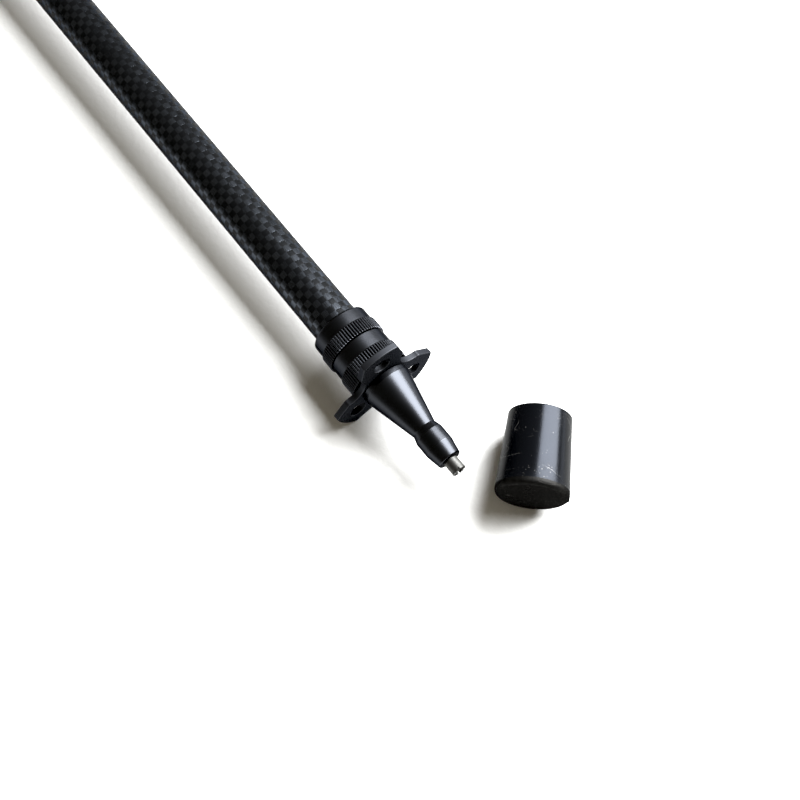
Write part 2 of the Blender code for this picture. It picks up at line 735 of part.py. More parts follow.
def make_top_ferrule(pole):
    """The ferrule bonded over the inner tube's top, with the prism's seat at its end."""
    hole = STUD_SHANK_RADIUS + FACE_GAP
    stud_floor = STUD_SHANK_LENGTH + FACE_GAP
    skirt_radius = INNER_RADIUS + FACE_GAP + FERRULE_WALL
    neck = skirt_radius - FERRULE_NECK_DEPTH
    head_end = FERRULE_HEAD_LENGTH
    neck_end = head_end + FERRULE_NECK_LENGTH
    floor = INNER_TOP - FACE_GAP - FERRULE_TOP
    end = FERRULE_SKIRT - FERRULE_TOP
    outline = [
        (0, hole),
        (0, FERRULE_HEAD_RADIUS - TURNED_CHAMFER),
        (TURNED_CHAMFER, FERRULE_HEAD_RADIUS),
        (head_end - TURNED_CHAMFER, FERRULE_HEAD_RADIUS),
        (head_end, FERRULE_HEAD_RADIUS - TURNED_CHAMFER),
        (head_end, neck),
        (neck_end - FERRULE_NECK_DEPTH, neck),
        (neck_end, skirt_radius),
        (end - 2 * TURNED_CHAMFER, skirt_radius),
        (end, skirt_radius - 2 * TURNED_CHAMFER),
        (end, INNER_RADIUS + FACE_GAP),
        (floor, INNER_RADIUS + FACE_GAP),
        (floor, 0),
        (stud_floor, 0),
        (stud_floor, hole),
    ]
    mesh = turned("top_ferrule", outline)
    add("top_ferrule", mesh, "black_anodised", pole, (FERRULE_TOP, 0, 0))


def make_prism_stud(pole):
    """The 5/8 inch stud that the prism screws on to."""
    seat = FERRULE_TOP - FACE_GAP
    end = seat - STUD_LENGTH
    lead = 3 * TURNED_CHAMFER
    outline = [
        (0, 0),
        (0, STUD_RADIUS - lead),
        (lead, STUD_RADIUS),
        (seat - end, STUD_RADIUS),
        (seat - end, STUD_SHANK_RADIUS),
        (seat - end + FACE_GAP + STUD_SHANK_LENGTH, STUD_SHANK_RADIUS),
        (seat - end + FACE_GAP + STUD_SHANK_LENGTH, 0),
    ]
    mesh = turned("prism_stud", outline)
    add("prism_stud", mesh, "zinc_steel", pole, (end, 0, 0))


def make_lock_nut(pole):
    """The knurled nut that jams the prism once it faces the instrument."""
    outline = ring_outline(
        -LOCK_NUT_LENGTH, 0, STUD_RADIUS + FACE_GAP, LOCK_NUT_RADIUS, 1.5 * TURNED_CHAMFER
    )
    place = (FERRULE_TOP - 2 * FACE_GAP, 0, 0)
    add("lock_nut", turned("lock_nut", outline), "black_anodised", pole, place)


def lug_half():
    """Half the width over the lugs, so that the pinch screw's head clears the ring."""
    head_top = AXIS_HEIGHT - PINCH_HEAD_CLEAR - 2 * PINCH_HEAD_RADIUS
    beside_head = math.sqrt(max(0.0, BRACKET_RADIUS**2 - head_top**2))
    return beside_head + BRACKET_LUG_CLEAR


def bracket_outline():
    """The bracket's split ring with two lugs under it, clockwise from the slit, in (y, z)."""
    half = BRACKET_SLIT / 2
    lug = lug_half()
    bore_angle = math.asin(half / SOCKET_RADIUS)
    lug_angle = math.asin(lug / BRACKET_RADIUS)
    down = -math.pi / 2
    corner = 2 * TURNED_CHAMFER
    inside = circle(
        (0, 0), SOCKET_RADIUS, 40, down - bore_angle, -(2 * math.pi - 2 * bore_angle)
    )
    outside = circle(
        (0, 0), BRACKET_RADIUS, 40, down + lug_angle, 2 * math.pi - 2 * lug_angle
    )
    return [
        *inside,
        (half, -AXIS_HEIGHT),
        (lug - corner, -AXIS_HEIGHT),
        (lug, -AXIS_HEIGHT + corner),
        *outside,
        (-lug, -AXIS_HEIGHT + corner),
        (-lug + corner, -AXIS_HEIGHT),
        (-half, -AXIS_HEIGHT),
    ]


def bracket_middle():
    return TUBE_TOP + BRACKET_AT


def level_screw_places():
    """The three screws under the level's cup, in (y, z)."""
    places = []
    for number in range(LEVEL_SCREWS):
        turn = -math.pi / 2 + 2 * math.pi * number / LEVEL_SCREWS
        y = LEVEL_SCREW_CIRCLE * math.cos(turn)
        z = LEVEL_REACH + LEVEL_SCREW_CIRCLE * math.sin(turn)
        places.append((y, z))
    return places


def pinch_screw_height():
    return PINCH_HEAD_RADIUS + PINCH_HEAD_CLEAR - AXIS_HEIGHT


def make_level_bracket(pole):
    """A split ring clamped on the tube, with a shelf for the circular level."""
    half = BRACKET_LENGTH / 2
    mesh = extruded("level_bracket", bracket_outline(), -half, half)
    place = (bracket_middle(), 0, 0)
    bracket = add("level_bracket", mesh, "black_anodised", pole, place)
    web = 0.6 * LEVEL_CUP_RADIUS
    foot = math.sqrt(BRACKET_RADIUS**2 - web**2) - 0.3 * BRACKET_WALL
    arc = math.asin(web / LEVEL_CUP_RADIUS)
    shelf = [
        (-web, foot),
        (web, foot),
        *circle(
            (0, LEVEL_REACH),
            LEVEL_CUP_RADIUS,
            28,
            -math.pi / 2 + arc,
            2 * math.pi - 2 * arc,
        ),
    ]
    join(bracket, "shelf", extruded("shelf", shelf, half - SHELF_THICKNESS, half))
    radius = LEVEL_SCREW_RADIUS + FACE_GAP
    for number, centre in enumerate(level_screw_places()):
        hole = extruded("hole", circle(centre, radius, 16), -half, 2 * half)
        cut(bracket, f"screw_hole_{number + 1}", hole)
    reach = 2 * lug_half()
    radius = PINCH_SCREW_RADIUS + FACE_GAP
    hole = rod_along_y("pinch_hole", -reach, reach, radius, 0, pinch_screw_height())
    cut(bracket, "pinch_hole", hole)


def screw_outline(shank, head, shank_length, head_length=SCREW_HEAD_LENGTH):
    """A plain screw along X: the head's top is at zero and the shank runs towards -X."""
    edge = TURNED_CHAMFER
    return [
        (0, 0),
        (0, head - edge),
        (-edge, head),
        (-head_length, head),
        (-head_length, shank),
        (-head_length - shank_length, shank),
        (-head_length - shank_length, 0),
    ]


def make_pinch_screw(pole):
    """The screw across the bracket's lugs."""
    length = 2 * lug_half()
    outline = screw_outline(PINCH_SCREW_RADIUS, PINCH_HEAD_RADIUS, length)
    mesh = turned("pinch_screw", outline, SMALL_SEGMENTS)
    mesh.transform(Matrix.Rotation(math.pi / 2, 4, "Z"))
    y = lug_half() + FACE_GAP + SCREW_HEAD_LENGTH
    place = (bracket_middle(), y, pinch_screw_height())
    add("pinch_screw", mesh, "zinc_steel", pole, place)


def make_level(pole):
    """The circular level on its shelf: a cup, a vial and three screws from below."""
    shelf_front = bracket_middle() + BRACKET_LENGTH / 2
    shelf_back = shelf_front - SHELF_THICKNESS
    cup_floor = shelf_back - LEVEL_STAND_OFF
    bore = LEVEL_CUP_RADIUS - LEVEL_CUP_WALL
    cup_outline = [
        (-LEVEL_CUP_FLOOR, 0),
        (-LEVEL_CUP_FLOOR, bore),
        (-LEVEL_CUP_HEIGHT, bore),
        (-LEVEL_CUP_HEIGHT, LEVEL_CUP_RADIUS - TURNED_CHAMFER),
        (-LEVEL_CUP_HEIGHT + TURNED_CHAMFER, LEVEL_CUP_RADIUS),
        (-TURNED_CHAMFER, LEVEL_CUP_RADIUS),
        (0, LEVEL_CUP_RADIUS - TURNED_CHAMFER),
        (0, 0),
    ]
    place = (cup_floor, 0, LEVEL_REACH)
    cup = add("level_cup", turned("level_cup", cup_outline), "black_nylon", pole, place)
    hole_depth = LEVEL_CUP_FLOOR - 3 * TURNED_CHAMFER
    shank_end = hole_depth - FACE_GAP
    head_top = shelf_front + FACE_GAP + SCREW_HEAD_LENGTH
    shank = shelf_front + FACE_GAP - cup_floor + shank_end
    screw = screw_outline(LEVEL_SCREW_RADIUS, LEVEL_SCREW_HEAD, shank)
    for number, (y, z) in enumerate(level_screw_places()):
        name = f"level_screw_{number + 1}"
        hole = circle((y, z - LEVEL_REACH), LEVEL_SCREW_RADIUS + FACE_GAP, 16)
        cut(cup, f"hole_{number + 1}", extruded("hole", hole, -hole_depth, hole_depth))
        add(name, turned(name, screw, 16), "zinc_steel", pole, (head_top, y, z))
    vial_radius = bore - FACE_GAP
    vial_base = -LEVEL_CUP_FLOOR - FACE_GAP
    dome = [
        (-LEVEL_CUP_HEIGHT - VIAL_DOME * (1 - share**2), share * vial_radius)
        for share in (1, 0.8, 0.6, 0.3, 0)
    ]
    vial_outline = [(vial_base, 0), (vial_base, vial_radius), *dome]
    add("level_vial", turned("level_vial", vial_outline, 32), "vial", pole, place)


def solid_corners():
    """Every vertex of every visible solid, in the world."""
    bpy.context.view_layer.update()
    graph = bpy.context.evaluated_depsgraph_get()
    for piece in bpy.context.scene.objects:
        if piece.type == "MESH" and not piece.hide_render:
            shape = piece.evaluated_get(graph)
            mesh = shape.to_mesh()
            for vertex in mesh.vertices:
                yield shape.matrix_world @ vertex.co
            shape.to_mesh_clear()


def stand_over_origin(bench):
    """Moves the whole object so that the middle of its footprint is at the origin."""
    corners = list(solid_corners())
    for axis in (0, 1):
        low = min(corner[axis] for corner in corners)
        high = max(corner[axis] for corner in corners)
        bench.location[axis] -= (low + high) / 2
    bench.location.z -= min(corner.z for corner in corners)


def main():
    for piece in list(bpy.data.objects):
        bpy.data.objects.remove(piece)
    bench = empty("prism_pole")
    pole = empty("pole_axis", bench, Matrix.Translation((0, 0, AXIS_HEIGHT)))
    make_lower_tube(pole)
    make_foot_collar(pole)
    make_lock_ring(pole)
    make_eared_plate(pole)
    make_point_stud(pole)
    make_point_body(pole)
    make_tip_insert(pole)
    make_rubber_boot(bench)
    make_clamp_body(pole)
    make_clamp_bush(pole)
    make_clamp_bolt(pole)
    make_thumb_nut(pole)
    make_clamp_lever(pole)
    make_inner_tube(pole)
    make_guide_plug(pole)
    make_top_ferrule(pole)
    make_prism_stud(pole)
    make_lock_nut(pole)
    make_level_bracket(pole)
    make_pinch_screw(pole)
    make_level(pole)
    stand_over_origin(bench)


main()
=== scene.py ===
"""Finishes a telescopic carbon prism pole round its packed frame.

Each piece is modelled in metres in the frame's own space. Turned pieces are drawn as an outline of
(x, radius) corners and swept about the pole's axis, flat ones as an outline of (y, z) points.
"""

import json
import math

import bmesh
import bpy
from bpy.props import (
    FloatProperty,
    FloatVectorProperty,
    IntProperty,
    PointerProperty,
)
from mathutils import Euler, Matrix, Vector


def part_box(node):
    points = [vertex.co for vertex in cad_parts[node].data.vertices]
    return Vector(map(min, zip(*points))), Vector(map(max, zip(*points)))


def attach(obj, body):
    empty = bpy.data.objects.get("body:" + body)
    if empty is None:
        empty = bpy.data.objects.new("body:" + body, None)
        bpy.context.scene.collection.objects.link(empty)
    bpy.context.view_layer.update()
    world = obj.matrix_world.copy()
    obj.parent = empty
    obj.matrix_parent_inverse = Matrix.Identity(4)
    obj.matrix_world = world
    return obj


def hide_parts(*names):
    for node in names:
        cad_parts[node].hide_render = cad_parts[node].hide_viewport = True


bl_info = {
    "name": "Prism Pole Builder",
    "version": (1, 0, 0),
    "blender": (4, 5, 0),
    "location": "View3D > Sidebar > Prism Pole",
    "description": "Builds the finished pieces of a telescopic prism pole",
    "category": "Add Mesh",
}

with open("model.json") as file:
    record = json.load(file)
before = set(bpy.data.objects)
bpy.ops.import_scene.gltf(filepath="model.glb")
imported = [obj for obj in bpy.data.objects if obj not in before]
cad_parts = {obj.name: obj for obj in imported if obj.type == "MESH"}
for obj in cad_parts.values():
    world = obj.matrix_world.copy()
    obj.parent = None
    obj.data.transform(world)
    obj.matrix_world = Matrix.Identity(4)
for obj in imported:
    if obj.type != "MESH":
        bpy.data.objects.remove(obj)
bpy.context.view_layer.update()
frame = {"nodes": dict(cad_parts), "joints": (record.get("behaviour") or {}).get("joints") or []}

WHOLE_TURN = 2 * math.pi
SLIT_REACH = 0.1  # longer than any piece that is cut through
EDGE_ATTRIBUTE = "edge"


# ---------------------------------------------------------------- places read from the frame


def span(node):
    """Where a node starts and ends along the pole."""
    low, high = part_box(node)
    return low.x, high.x


def middle(node):
    low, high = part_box(node)
    return (low + high) / 2


def radius_of(node):
    """The outer radius of a piece turned about the pole's axis."""
    low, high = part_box(node)
    return (high.z - low.z) / 2


def joint(name):
    return next(found for found in frame["joints"] if found["name"] == name)


POLE_AXIS = Vector((0, middle("lower_tube").y, middle("lower_tube").z))
PLATE_FRONT = span("eared_plate")[1]
TUBE_RADIUS = radius_of("lower_tube")
POLE_PLACE = Matrix.Translation(POLE_AXIS)


# ---------------------------------------------------------------- settings


def length(name, description, default):
    return FloatProperty(
        name=name, description=description, default=default, min=0, precision=5, unit="LENGTH"
    )


def share(name, description, default):
    return FloatProperty(
        name=name, description=description, default=default, min=0, max=1, subtype="FACTOR"
    )


def colour(name, description, default):
    return FloatVectorProperty(
        name=name, description=description, default=default, size=3, min=0, max=1, subtype="COLOR"
    )


def angle(name, description, degrees):
    return FloatProperty(
        name=name, description=description, default=math.radians(degrees), subtype="ANGLE"
    )


class WeaveSizes(bpy.types.PropertyGroup):
    """The plain weave of the carbon tubes."""

    tow: length("Tow width", "Width of one flat bundle of fibres", 0.0035)
    relief: length("Relief", "How far a tow stands over the next at a crossing", 0.00004)
    fibre_relief: length("Fibre relief", "Height of the fine lines in a tow", 0.000006)
    wall: length("Wall", "Thickness of a tube's wall", 0.0015)
    mark_pitch: length("Mark pitch", "Between two graduations on the inner tube", 0.01)
    mark_width: length("Mark width", "Width of one graduation line", 0.0004)


class KnurlSizes(bpy.types.PropertyGroup):
    """The straight knurls that a hand grips."""

    pitch: length("Pitch", "Between two crests, round the piece", 0.00157)
    depth: length("Depth", "From crest to root", 0.0007)
    collar_rim: length("Collar rim", "Smooth rim of the foot collar", 0.008)
    ring_groove: length("Ring groove", "Smooth waist of the lock ring", 0.0082)
    proud: length("Proud", "How far a knurled band stands over the smooth rings", 0.0008)


class PlateSizes(bpy.types.PropertyGroup):
    """The foot plate and its three ears."""

    ears: IntProperty(name="Ears", description="How many ears the plate has", default=3, min=2)
    disc: length("Disc radius", "Radius of the disc that the ears are cut from", 0.0300)
    end_half: length("Ear end", "Half the width of an ear at its end", 0.0100)
    shoulder_reach: length("Shoulder reach", "From the axis out to an ear's shoulder", 0.0176)
    shoulder_half: length("Shoulder", "Half the width of an ear at its shoulder", 0.0128)
    corner: length("Corner", "Radius of an ear's corners", 0.0010)
    valley: length("Valley", "From the axis to the floor of the scallop", 0.0142)
    hole_reach: length("Hole reach", "From the axis to the middle of an ear's hole", 0.0199)
    hole: length("Hole radius", "Radius of an ear's hole", 0.0047)
    centre_hole: length("Centre hole", "Radius of the hole for the point's stud", 0.0063)
    edge: length("Edge", "Rounding of the plate's edges", 0.00035)


class PointSizes(bpy.types.PropertyGroup):
    """The turned point and its hard tip."""

    base_length: length("Base length", "Length of the cylinder behind the cone", 0.0031)
    waist_at: length("Waist place", "From the foot plate's front to the waist", 0.0320)
    waist: length("Waist radius", "Radius at the waist", 0.0066)
    flare: length("Flare", "Length of the flare behind the bulb", 0.0038)
    bulb: length("Bulb radius", "Radius of the bulb", 0.0077)
    bulb_length: length("Bulb length", "Length of the bulb's cylinder", 0.0080)
    nose: length("Nose radius", "Radius at the nose", 0.0062)
    stud_hole: length("Stud hole", "Radius of the threaded hole in the base", 0.0063)
    tip_hole: length("Tip hole", "Radius of the hole for the tip's shank", 0.0029)
    tip_shank: length("Tip shank", "Radius of the tip's shank", 0.0026)
    crown_depth: length("Crown depth", "Depth of the hollow in the tip's end", 0.0014)
    crown_wall: length("Crown wall", "Wall round the tip's hollow", 0.0013)
    crown_nub: length("Crown nub", "Radius of the nub in the hollow", 0.0012)
    notch: length("Notch width", "Width of a notch in the crown", 0.0010)
    notches: IntProperty(name="Notches", description="Notches in the crown", default=6, min=2)


class BootSizes(bpy.types.PropertyGroup):
    """The rubber boot that covers the point."""

    bore: length("Bore radius", "Radius of the bore", 0.0083)
    mouth: length("Mouth radius", "Outer radius at the open end", 0.0158)
    base: length("Base radius", "Outer radius at the closed end", 0.0182)
    depth: length("Length", "Length along its axis", 0.04268)
    floor: length("Floor", "Thickness of the closed end", 0.0061)
    edge: length("Edge", "Rounding of the closed end's edge", 0.0024)
    flash: length("Flash", "How far the moulding flash stands out", 0.0002)


class UpperSizes(bpy.types.PropertyGroup):
    """The clamp, the lever, the ferrule and the stud at the upper end."""

    gap: length("Gap", "Between two faces that meet", 0.0003)
    bond: length("Bond length", "Length of the clamp that is bonded to the tube", 0.020)
    slit: length("Slit", "Width of the clamp's slit", 0.0022)
    ear_length: length("Ear length", "Length of the clamp's ears along the pole", 0.020)
    ear_half: length("Ear half width", "Half the width over both ears", 0.0090)
    ear_rise: length("Ear rise", "How far the ears stand over the round body", 0.0085)
    lever_thickness: length("Lever thickness", "Thickness of the lever's arm", 0.0032)
    stand_off: length("Lever gap", "Between the lever's arm and the clamp", 0.0007)
    cam: length("Cam radius", "Radius of the lever's cam", 0.0048)
    cam_offset: length("Cam offset", "From the cam's middle to its pin", 0.0007)
    eye_width: length("Eye width", "Width of the bolt's eye", 0.0060)
    eye: length("Eye radius", "Radius of the bolt's eye", 0.0032)
    bolt: length("Bolt radius", "Radius of the clamp's bolt", 0.0022)
    neck_length: length("Neck length", "Length of the ferrule's groove", 0.006)
    neck_depth: length("Neck depth", "Depth of the ferrule's groove", 0.0016)
    head_length: length("Head length", "Length of the ferrule's head", 0.012)
    skirt: length("Skirt", "Wall of the ferrule round the inner tube", 0.0026)
    shank: length("Shank radius", "Radius of the prism stud inside the ferrule", 0.006)
    stud_pitch: length("Stud pitch", "Pitch of the prism stud's thread", 0.0254 / 11)
    stud_depth: length("Thread depth", "Depth of the prism stud's thread", 0.0013)
    bolt_pitch: length("Bolt pitch", "Pitch of the clamp bolt's thread", 0.0007)


class LevelSizes(bpy.types.PropertyGroup):
    """The circular level and its bracket."""

    wall: length("Bracket wall", "Thickness of the bracket's ring", 0.0037)
    screw_head: length("Screw head", "Height of a screw's head", 0.0020)
    slit: length("Slit", "Width of the bracket's slit", 0.0020)
    shelf: length("Shelf", "Thickness of the shelf", 0.0040)
    reach: length("Reach", "From the pole's axis to the level's axis", 0.0350)
    cup_wall: length("Cup wall", "Wall of the level's cup", 0.0022)
    cup_floor: length("Cup floor", "Floor of the level's cup", 0.0045)
    bubble: length("Bubble", "Radius of the bubble", 0.0034)
    ring: length("Ring", "Radius of the centring ring", 0.0046)
    screw_circle: length("Screw circle", "From the level's axis to its screws", 0.0105)
    screw: length("Screw", "Radius of a level screw's shank", 0.0013)
    pinch: length("Pinch screw", "Radius of the pinch screw's shank", 0.0018)
    glass: length("Glass", "Wall of the vial over its spirit", 0.0010)
    line: length("Ring line", "Half the width of the centring ring's line", 0.00025)


class Colours(bpy.types.PropertyGroup):
    """Colours of the finishes."""

    anodised: colour("Anodised black", "Black anodised aluminium", (0.0255, 0.0270, 0.0306))
    worn: colour("Worn edge", "Aluminium showing through at an edge", (0.16, 0.16, 0.17))
    # The next two colours paint light and shade into the weave: the first is a painted sheen for
    # the tows that run along the tube, the second is the same carbon as painted shade for the tows
    # that run across.
    fibre_painted_sheen: colour("Fibre", "Carbon fibres that face the light", (0.064, 0.071, 0.083))
    fibre_painted_shade: colour("Dark fibre", "Carbon fibres that run across", (0.0125, 0.0133, 0.0145))
    steel: colour("Hard steel", "Ground hardened steel", (0.070, 0.070, 0.067))
    zinc: colour("Zinc", "Zinc plating", (0.52, 0.53, 0.55))
    rubber: colour("Rubber", "Moulded rubber", (0.0092, 0.0103, 0.0128))
    # Painted shade: a darker colour for the boot's closed end and its rounded edge, which face away
    # from the window, and for the pits; the end's matt grain is its own.
    rubber_painted_shade: colour("Rubber end", "The boot's matt closed end", (0.0045, 0.0046, 0.0048))
    dust: colour("Dust", "Dust and scuffs on rubber", (0.30, 0.29, 0.27))
    nylon: colour("Nylon", "Moulded nylon", (0.012, 0.012, 0.013))
    spirit: colour("Spirit", "Spirit in the level", (0.55, 0.78, 0.10))
    mark: colour("Marks", "Painted graduations", (0.75, 0.74, 0.70))
    table: colour("Table", "Pale table top", (0.86, 0.86, 0.85))


class StageSettings(bpy.types.PropertyGroup):
    """The table, the light and the camera."""

    camera_place: FloatVectorProperty(
        name="Camera place",
        description="From the middle of the foot plate's front to the camera",
        default=(0.19525, -0.11262, 0.53650),
        size=3,
        unit="LENGTH",
    )
    camera_azimuth: angle("Camera azimuth", "Turn of the camera round the pole", 58.334)
    camera_elevation: angle("Camera elevation", "Height of the view over the table", 68.181)
    camera_roll: angle("Camera roll", "Turn of the camera about its view", -6.427)
    lens: FloatProperty(name="Lens", description="Focal length", default=52.95, unit="CAMERA")
    light_azimuth: angle("Light azimuth", "Direction of the window, from +X towards +Y", 86)
    light_elevation: angle("Light elevation", "Height of the window's middle", 39.5)
    light_distance: length("Light distance", "From the foot plate to the window", 1.9)
    light_width: length("Light width", "Width of the window", 1.3)
    light_height: length("Light height", "Height of the window", 1.7)
    light_power: FloatProperty(
        name="Light power", description="Power of the window", default=235, unit="POWER"
    )
    window_colour: colour("Window colour", "Colour of the window's light", (0.97, 0.985, 1.0))
    room_colour: colour("Room colour", "Colour of the light from the room", (1.0, 0.90, 0.72))
    table_reach: length("Table reach", "From the middle of the table to its side", 4)
    table_drop: length("Table drop", "From what rests on the table down to it", 0.00005)
    fill: FloatProperty(name="Fill", description="Strength of the room's light", default=0.20)
    black_point: FloatProperty(
        name="Black point", description="Brightness that is shown as black", default=0.004
    )


# ---------------------------------------------------------------- node trees


class Value:
    """One output in a node tree. Maths on it adds the nodes that work it out."""

    def __init__(self, graph, socket):
        self.graph = graph
        self.socket = socket

    def of(self, name):
        """Another output of the same node."""
        return Value(self.graph, self.socket.node.outputs[name])

    def maths(self, operation, *others):
        return self.graph.maths(operation, self, *others)

    def __add__(self, other):
        return self.graph.maths("ADD", self, other)

    __radd__ = __add__

    def __sub__(self, other):
        return self.graph.maths("SUBTRACT", self, other)

    def __rsub__(self, other):
        return self.graph.maths("SUBTRACT", other, self)

    def __mul__(self, other):
        return self.graph.maths("MULTIPLY", self, other)

    __rmul__ = __mul__

    def __truediv__(self, other):
        return self.graph.maths("DIVIDE", self, other)

    def __pow__(self, other):
        return self.graph.maths("POWER", self, other)


class Graph:
    """A node tree, and the one way in which nodes are added to it."""

    def __init__(self, tree):
        self.tree = tree

    def node(self, kind, settings=None, inputs=None, output=0):
        """Adds a node: first its settings, then its inputs' values or links. Returns one output."""
        made = self.tree.nodes.new(kind)
        for name, value in (settings or {}).items():
            setattr(made, name, value)
        for name, value in (inputs or {}).items():
            socket = made.inputs[name]
            if isinstance(value, Value):
                self.tree.links.new(value.socket, socket)
            else:
                socket.default_value = value
        return Value(self, made.outputs[output]) if made.outputs else None

    def maths(self, operation, *operands):
        return self.node(
            "ShaderNodeMath", {"operation": operation}, dict(enumerate(operands))
        )

    def smooth_step(self, value, low, high):
        """0 below low and 1 above high, with a soft change between."""
        return self.node(
            "ShaderNodeMapRange",
            {"interpolation_type": "SMOOTHSTEP"},
            {"Value": value, "From Min": low, "From Max": high},
        )

    def vector(self, x=0.0, y=0.0, z=0.0):
        return self.node("ShaderNodeCombineXYZ", {}, {"X": x, "Y": y, "Z": z})


class Finish(Graph):
    """A material: its Principled shader and the values that its patterns share."""

    def __init__(self, name, place=Matrix.Identity(4), **constants):
        self.material = bpy.data.materials.new(name)
        self.material.use_nodes = True
        super().__init__(self.material.node_tree)
        self.shader = self.tree.nodes["Principled BSDF"]
        for socket, value in constants.items():
            self.shader.inputs[socket.replace("_", " ")].default_value = value
        self.place = self.node(
            "ShaderNodeMapping",
            {"vector_type": "TEXTURE"},
            {
                "Vector": self.node("ShaderNodeTexCoord", {}, {}, "Object"),
                "Location": place.to_translation(),
                "Rotation": place.to_euler(),
            },
        )
        self.x = self.node("ShaderNodeSeparateXYZ", {}, {0: self.place}, "X")
        self.y = self.x.of("Y")
        self.z = self.x.of("Z")

    def radius(self):
        return (self.y * self.y + self.z * self.z).maths("SQRT")

    def turn(self):
        """The angle round the X axis."""
        return self.z.maths("ARCTAN2", self.y)

    def edge(self):
        """1 on a rounded edge and 0 on the faces beside it."""
        return self.node(
            "ShaderNodeAttribute",
            {"attribute_type": "GEOMETRY", "attribute_name": EDGE_ATTRIBUTE},
            {},
            "Fac",
        )

    def noise(self, scale, detail=2.0, roughness=0.5, vector=None, output="Fac"):
        return self.node(
            "ShaderNodeTexNoise",
            {},
            {
                "Vector": vector or self.place,
                "Scale": scale,
                "Detail": detail,
                "Roughness": roughness,
            },
            output,
        )

    def mixed(self, factor, first, second):
        """A colour between two others."""
        colours = {
            socket: value if isinstance(value, Value) else (*value, 1)
            for socket, value in ((6, first), (7, second))
        }
        return self.node(
            "ShaderNodeMix", {"data_type": "RGBA"}, {0: factor, **colours}, output=2
        )

    def bump(self, height, distance, strength=1.0, normal=None):
        inputs = {"Height": height, "Distance": distance, "Strength": strength}
        if normal:
            inputs["Normal"] = normal
        return self.node("ShaderNodeBump", {}, inputs)

    def feed(self, **sockets):
        """Links values to the shader's sockets."""
        for name, value in sockets.items():
            self.tree.links.new(value.socket, self.shader.inputs[name.replace("_", " ")])
        return self.material


def specks(finish, scale, size, seed=0.0):
    """Scattered small dots: 1 on a dot."""
    offset = finish.node(
        "ShaderNodeVectorMath", {"operation": "ADD"}, {0: finish.place, 1: (seed, seed, seed)}
    )
    distance = finish.node(
        "ShaderNodeTexVoronoi", {}, {"Vector": offset, "Scale": scale}, "Distance"
    )
    thin = finish.smooth_step(finish.noise(scale / 7, vector=offset), 0.52, 0.62)
    return (1 - finish.smooth_step(distance, size * 0.6, size)) * thin


def scratches(finish, scale, width, turn, amount):
    """Fine bent hairlines: 1 on a scratch."""
    turned_place = finish.node(
        "ShaderNodeMapping",
        {"vector_type": "POINT"},
        {"Vector": finish.place, "Rotation": turn, "Scale": (1.0, 0.22, 0.5)},
    )
    wave = finish.noise(scale, 1.0, 0.4, turned_place)
    line = 1 - finish.smooth_step((wave - 0.5).maths("ABSOLUTE"), 0.0, width)
    here = finish.smooth_step(finish.noise(scale * 0.5), 1 - amount, 1.05 - amount)
    return line * here


def anodised_finish(name, place=POLE_PLACE, turned_lines=True, roughness=0.25):
    """Satin black anodised aluminium, with turning lines and a little wear on its edges."""
    colours = bpy.context.scene.pole_colours
    finish = Finish(name, place, Metallic=1.0, Specular_Tint=(0.35, 0.35, 0.35, 1))
    cloud = finish.noise(90, 3)
    if turned_lines:
        across = finish.x + finish.radius()
        rings = finish.noise(1.0, 2, 0.7, finish.vector(across * 9000, 0.0, 0.0))
        fine = finish.noise(1.0, 1, 0.5, finish.vector(across * 24000, finish.turn() * 2, 0.0))
        lines = rings * 0.6 + fine * 0.4
    else:
        lines = finish.noise(9000, 2, 0.6)
    worn = finish.smooth_step(finish.edge() * (0.55 + 0.9 * finish.noise(420, 3)), 0.62, 1.0)
    hair = scratches(finish, 160, 0.004, (0.4, 0.9, 0.3), 0.42)
    shade = finish.mixed(
        worn * 0.06 + hair * 0.04 + cloud * 0.02, colours.anodised, colours.worn
    )
    rough = roughness + 0.10 * cloud + 0.05 * lines - 0.06 * worn
    return finish.feed(
        Base_Color=shade, Roughness=rough, Normal=finish.bump(lines, 0.0000016)
    )


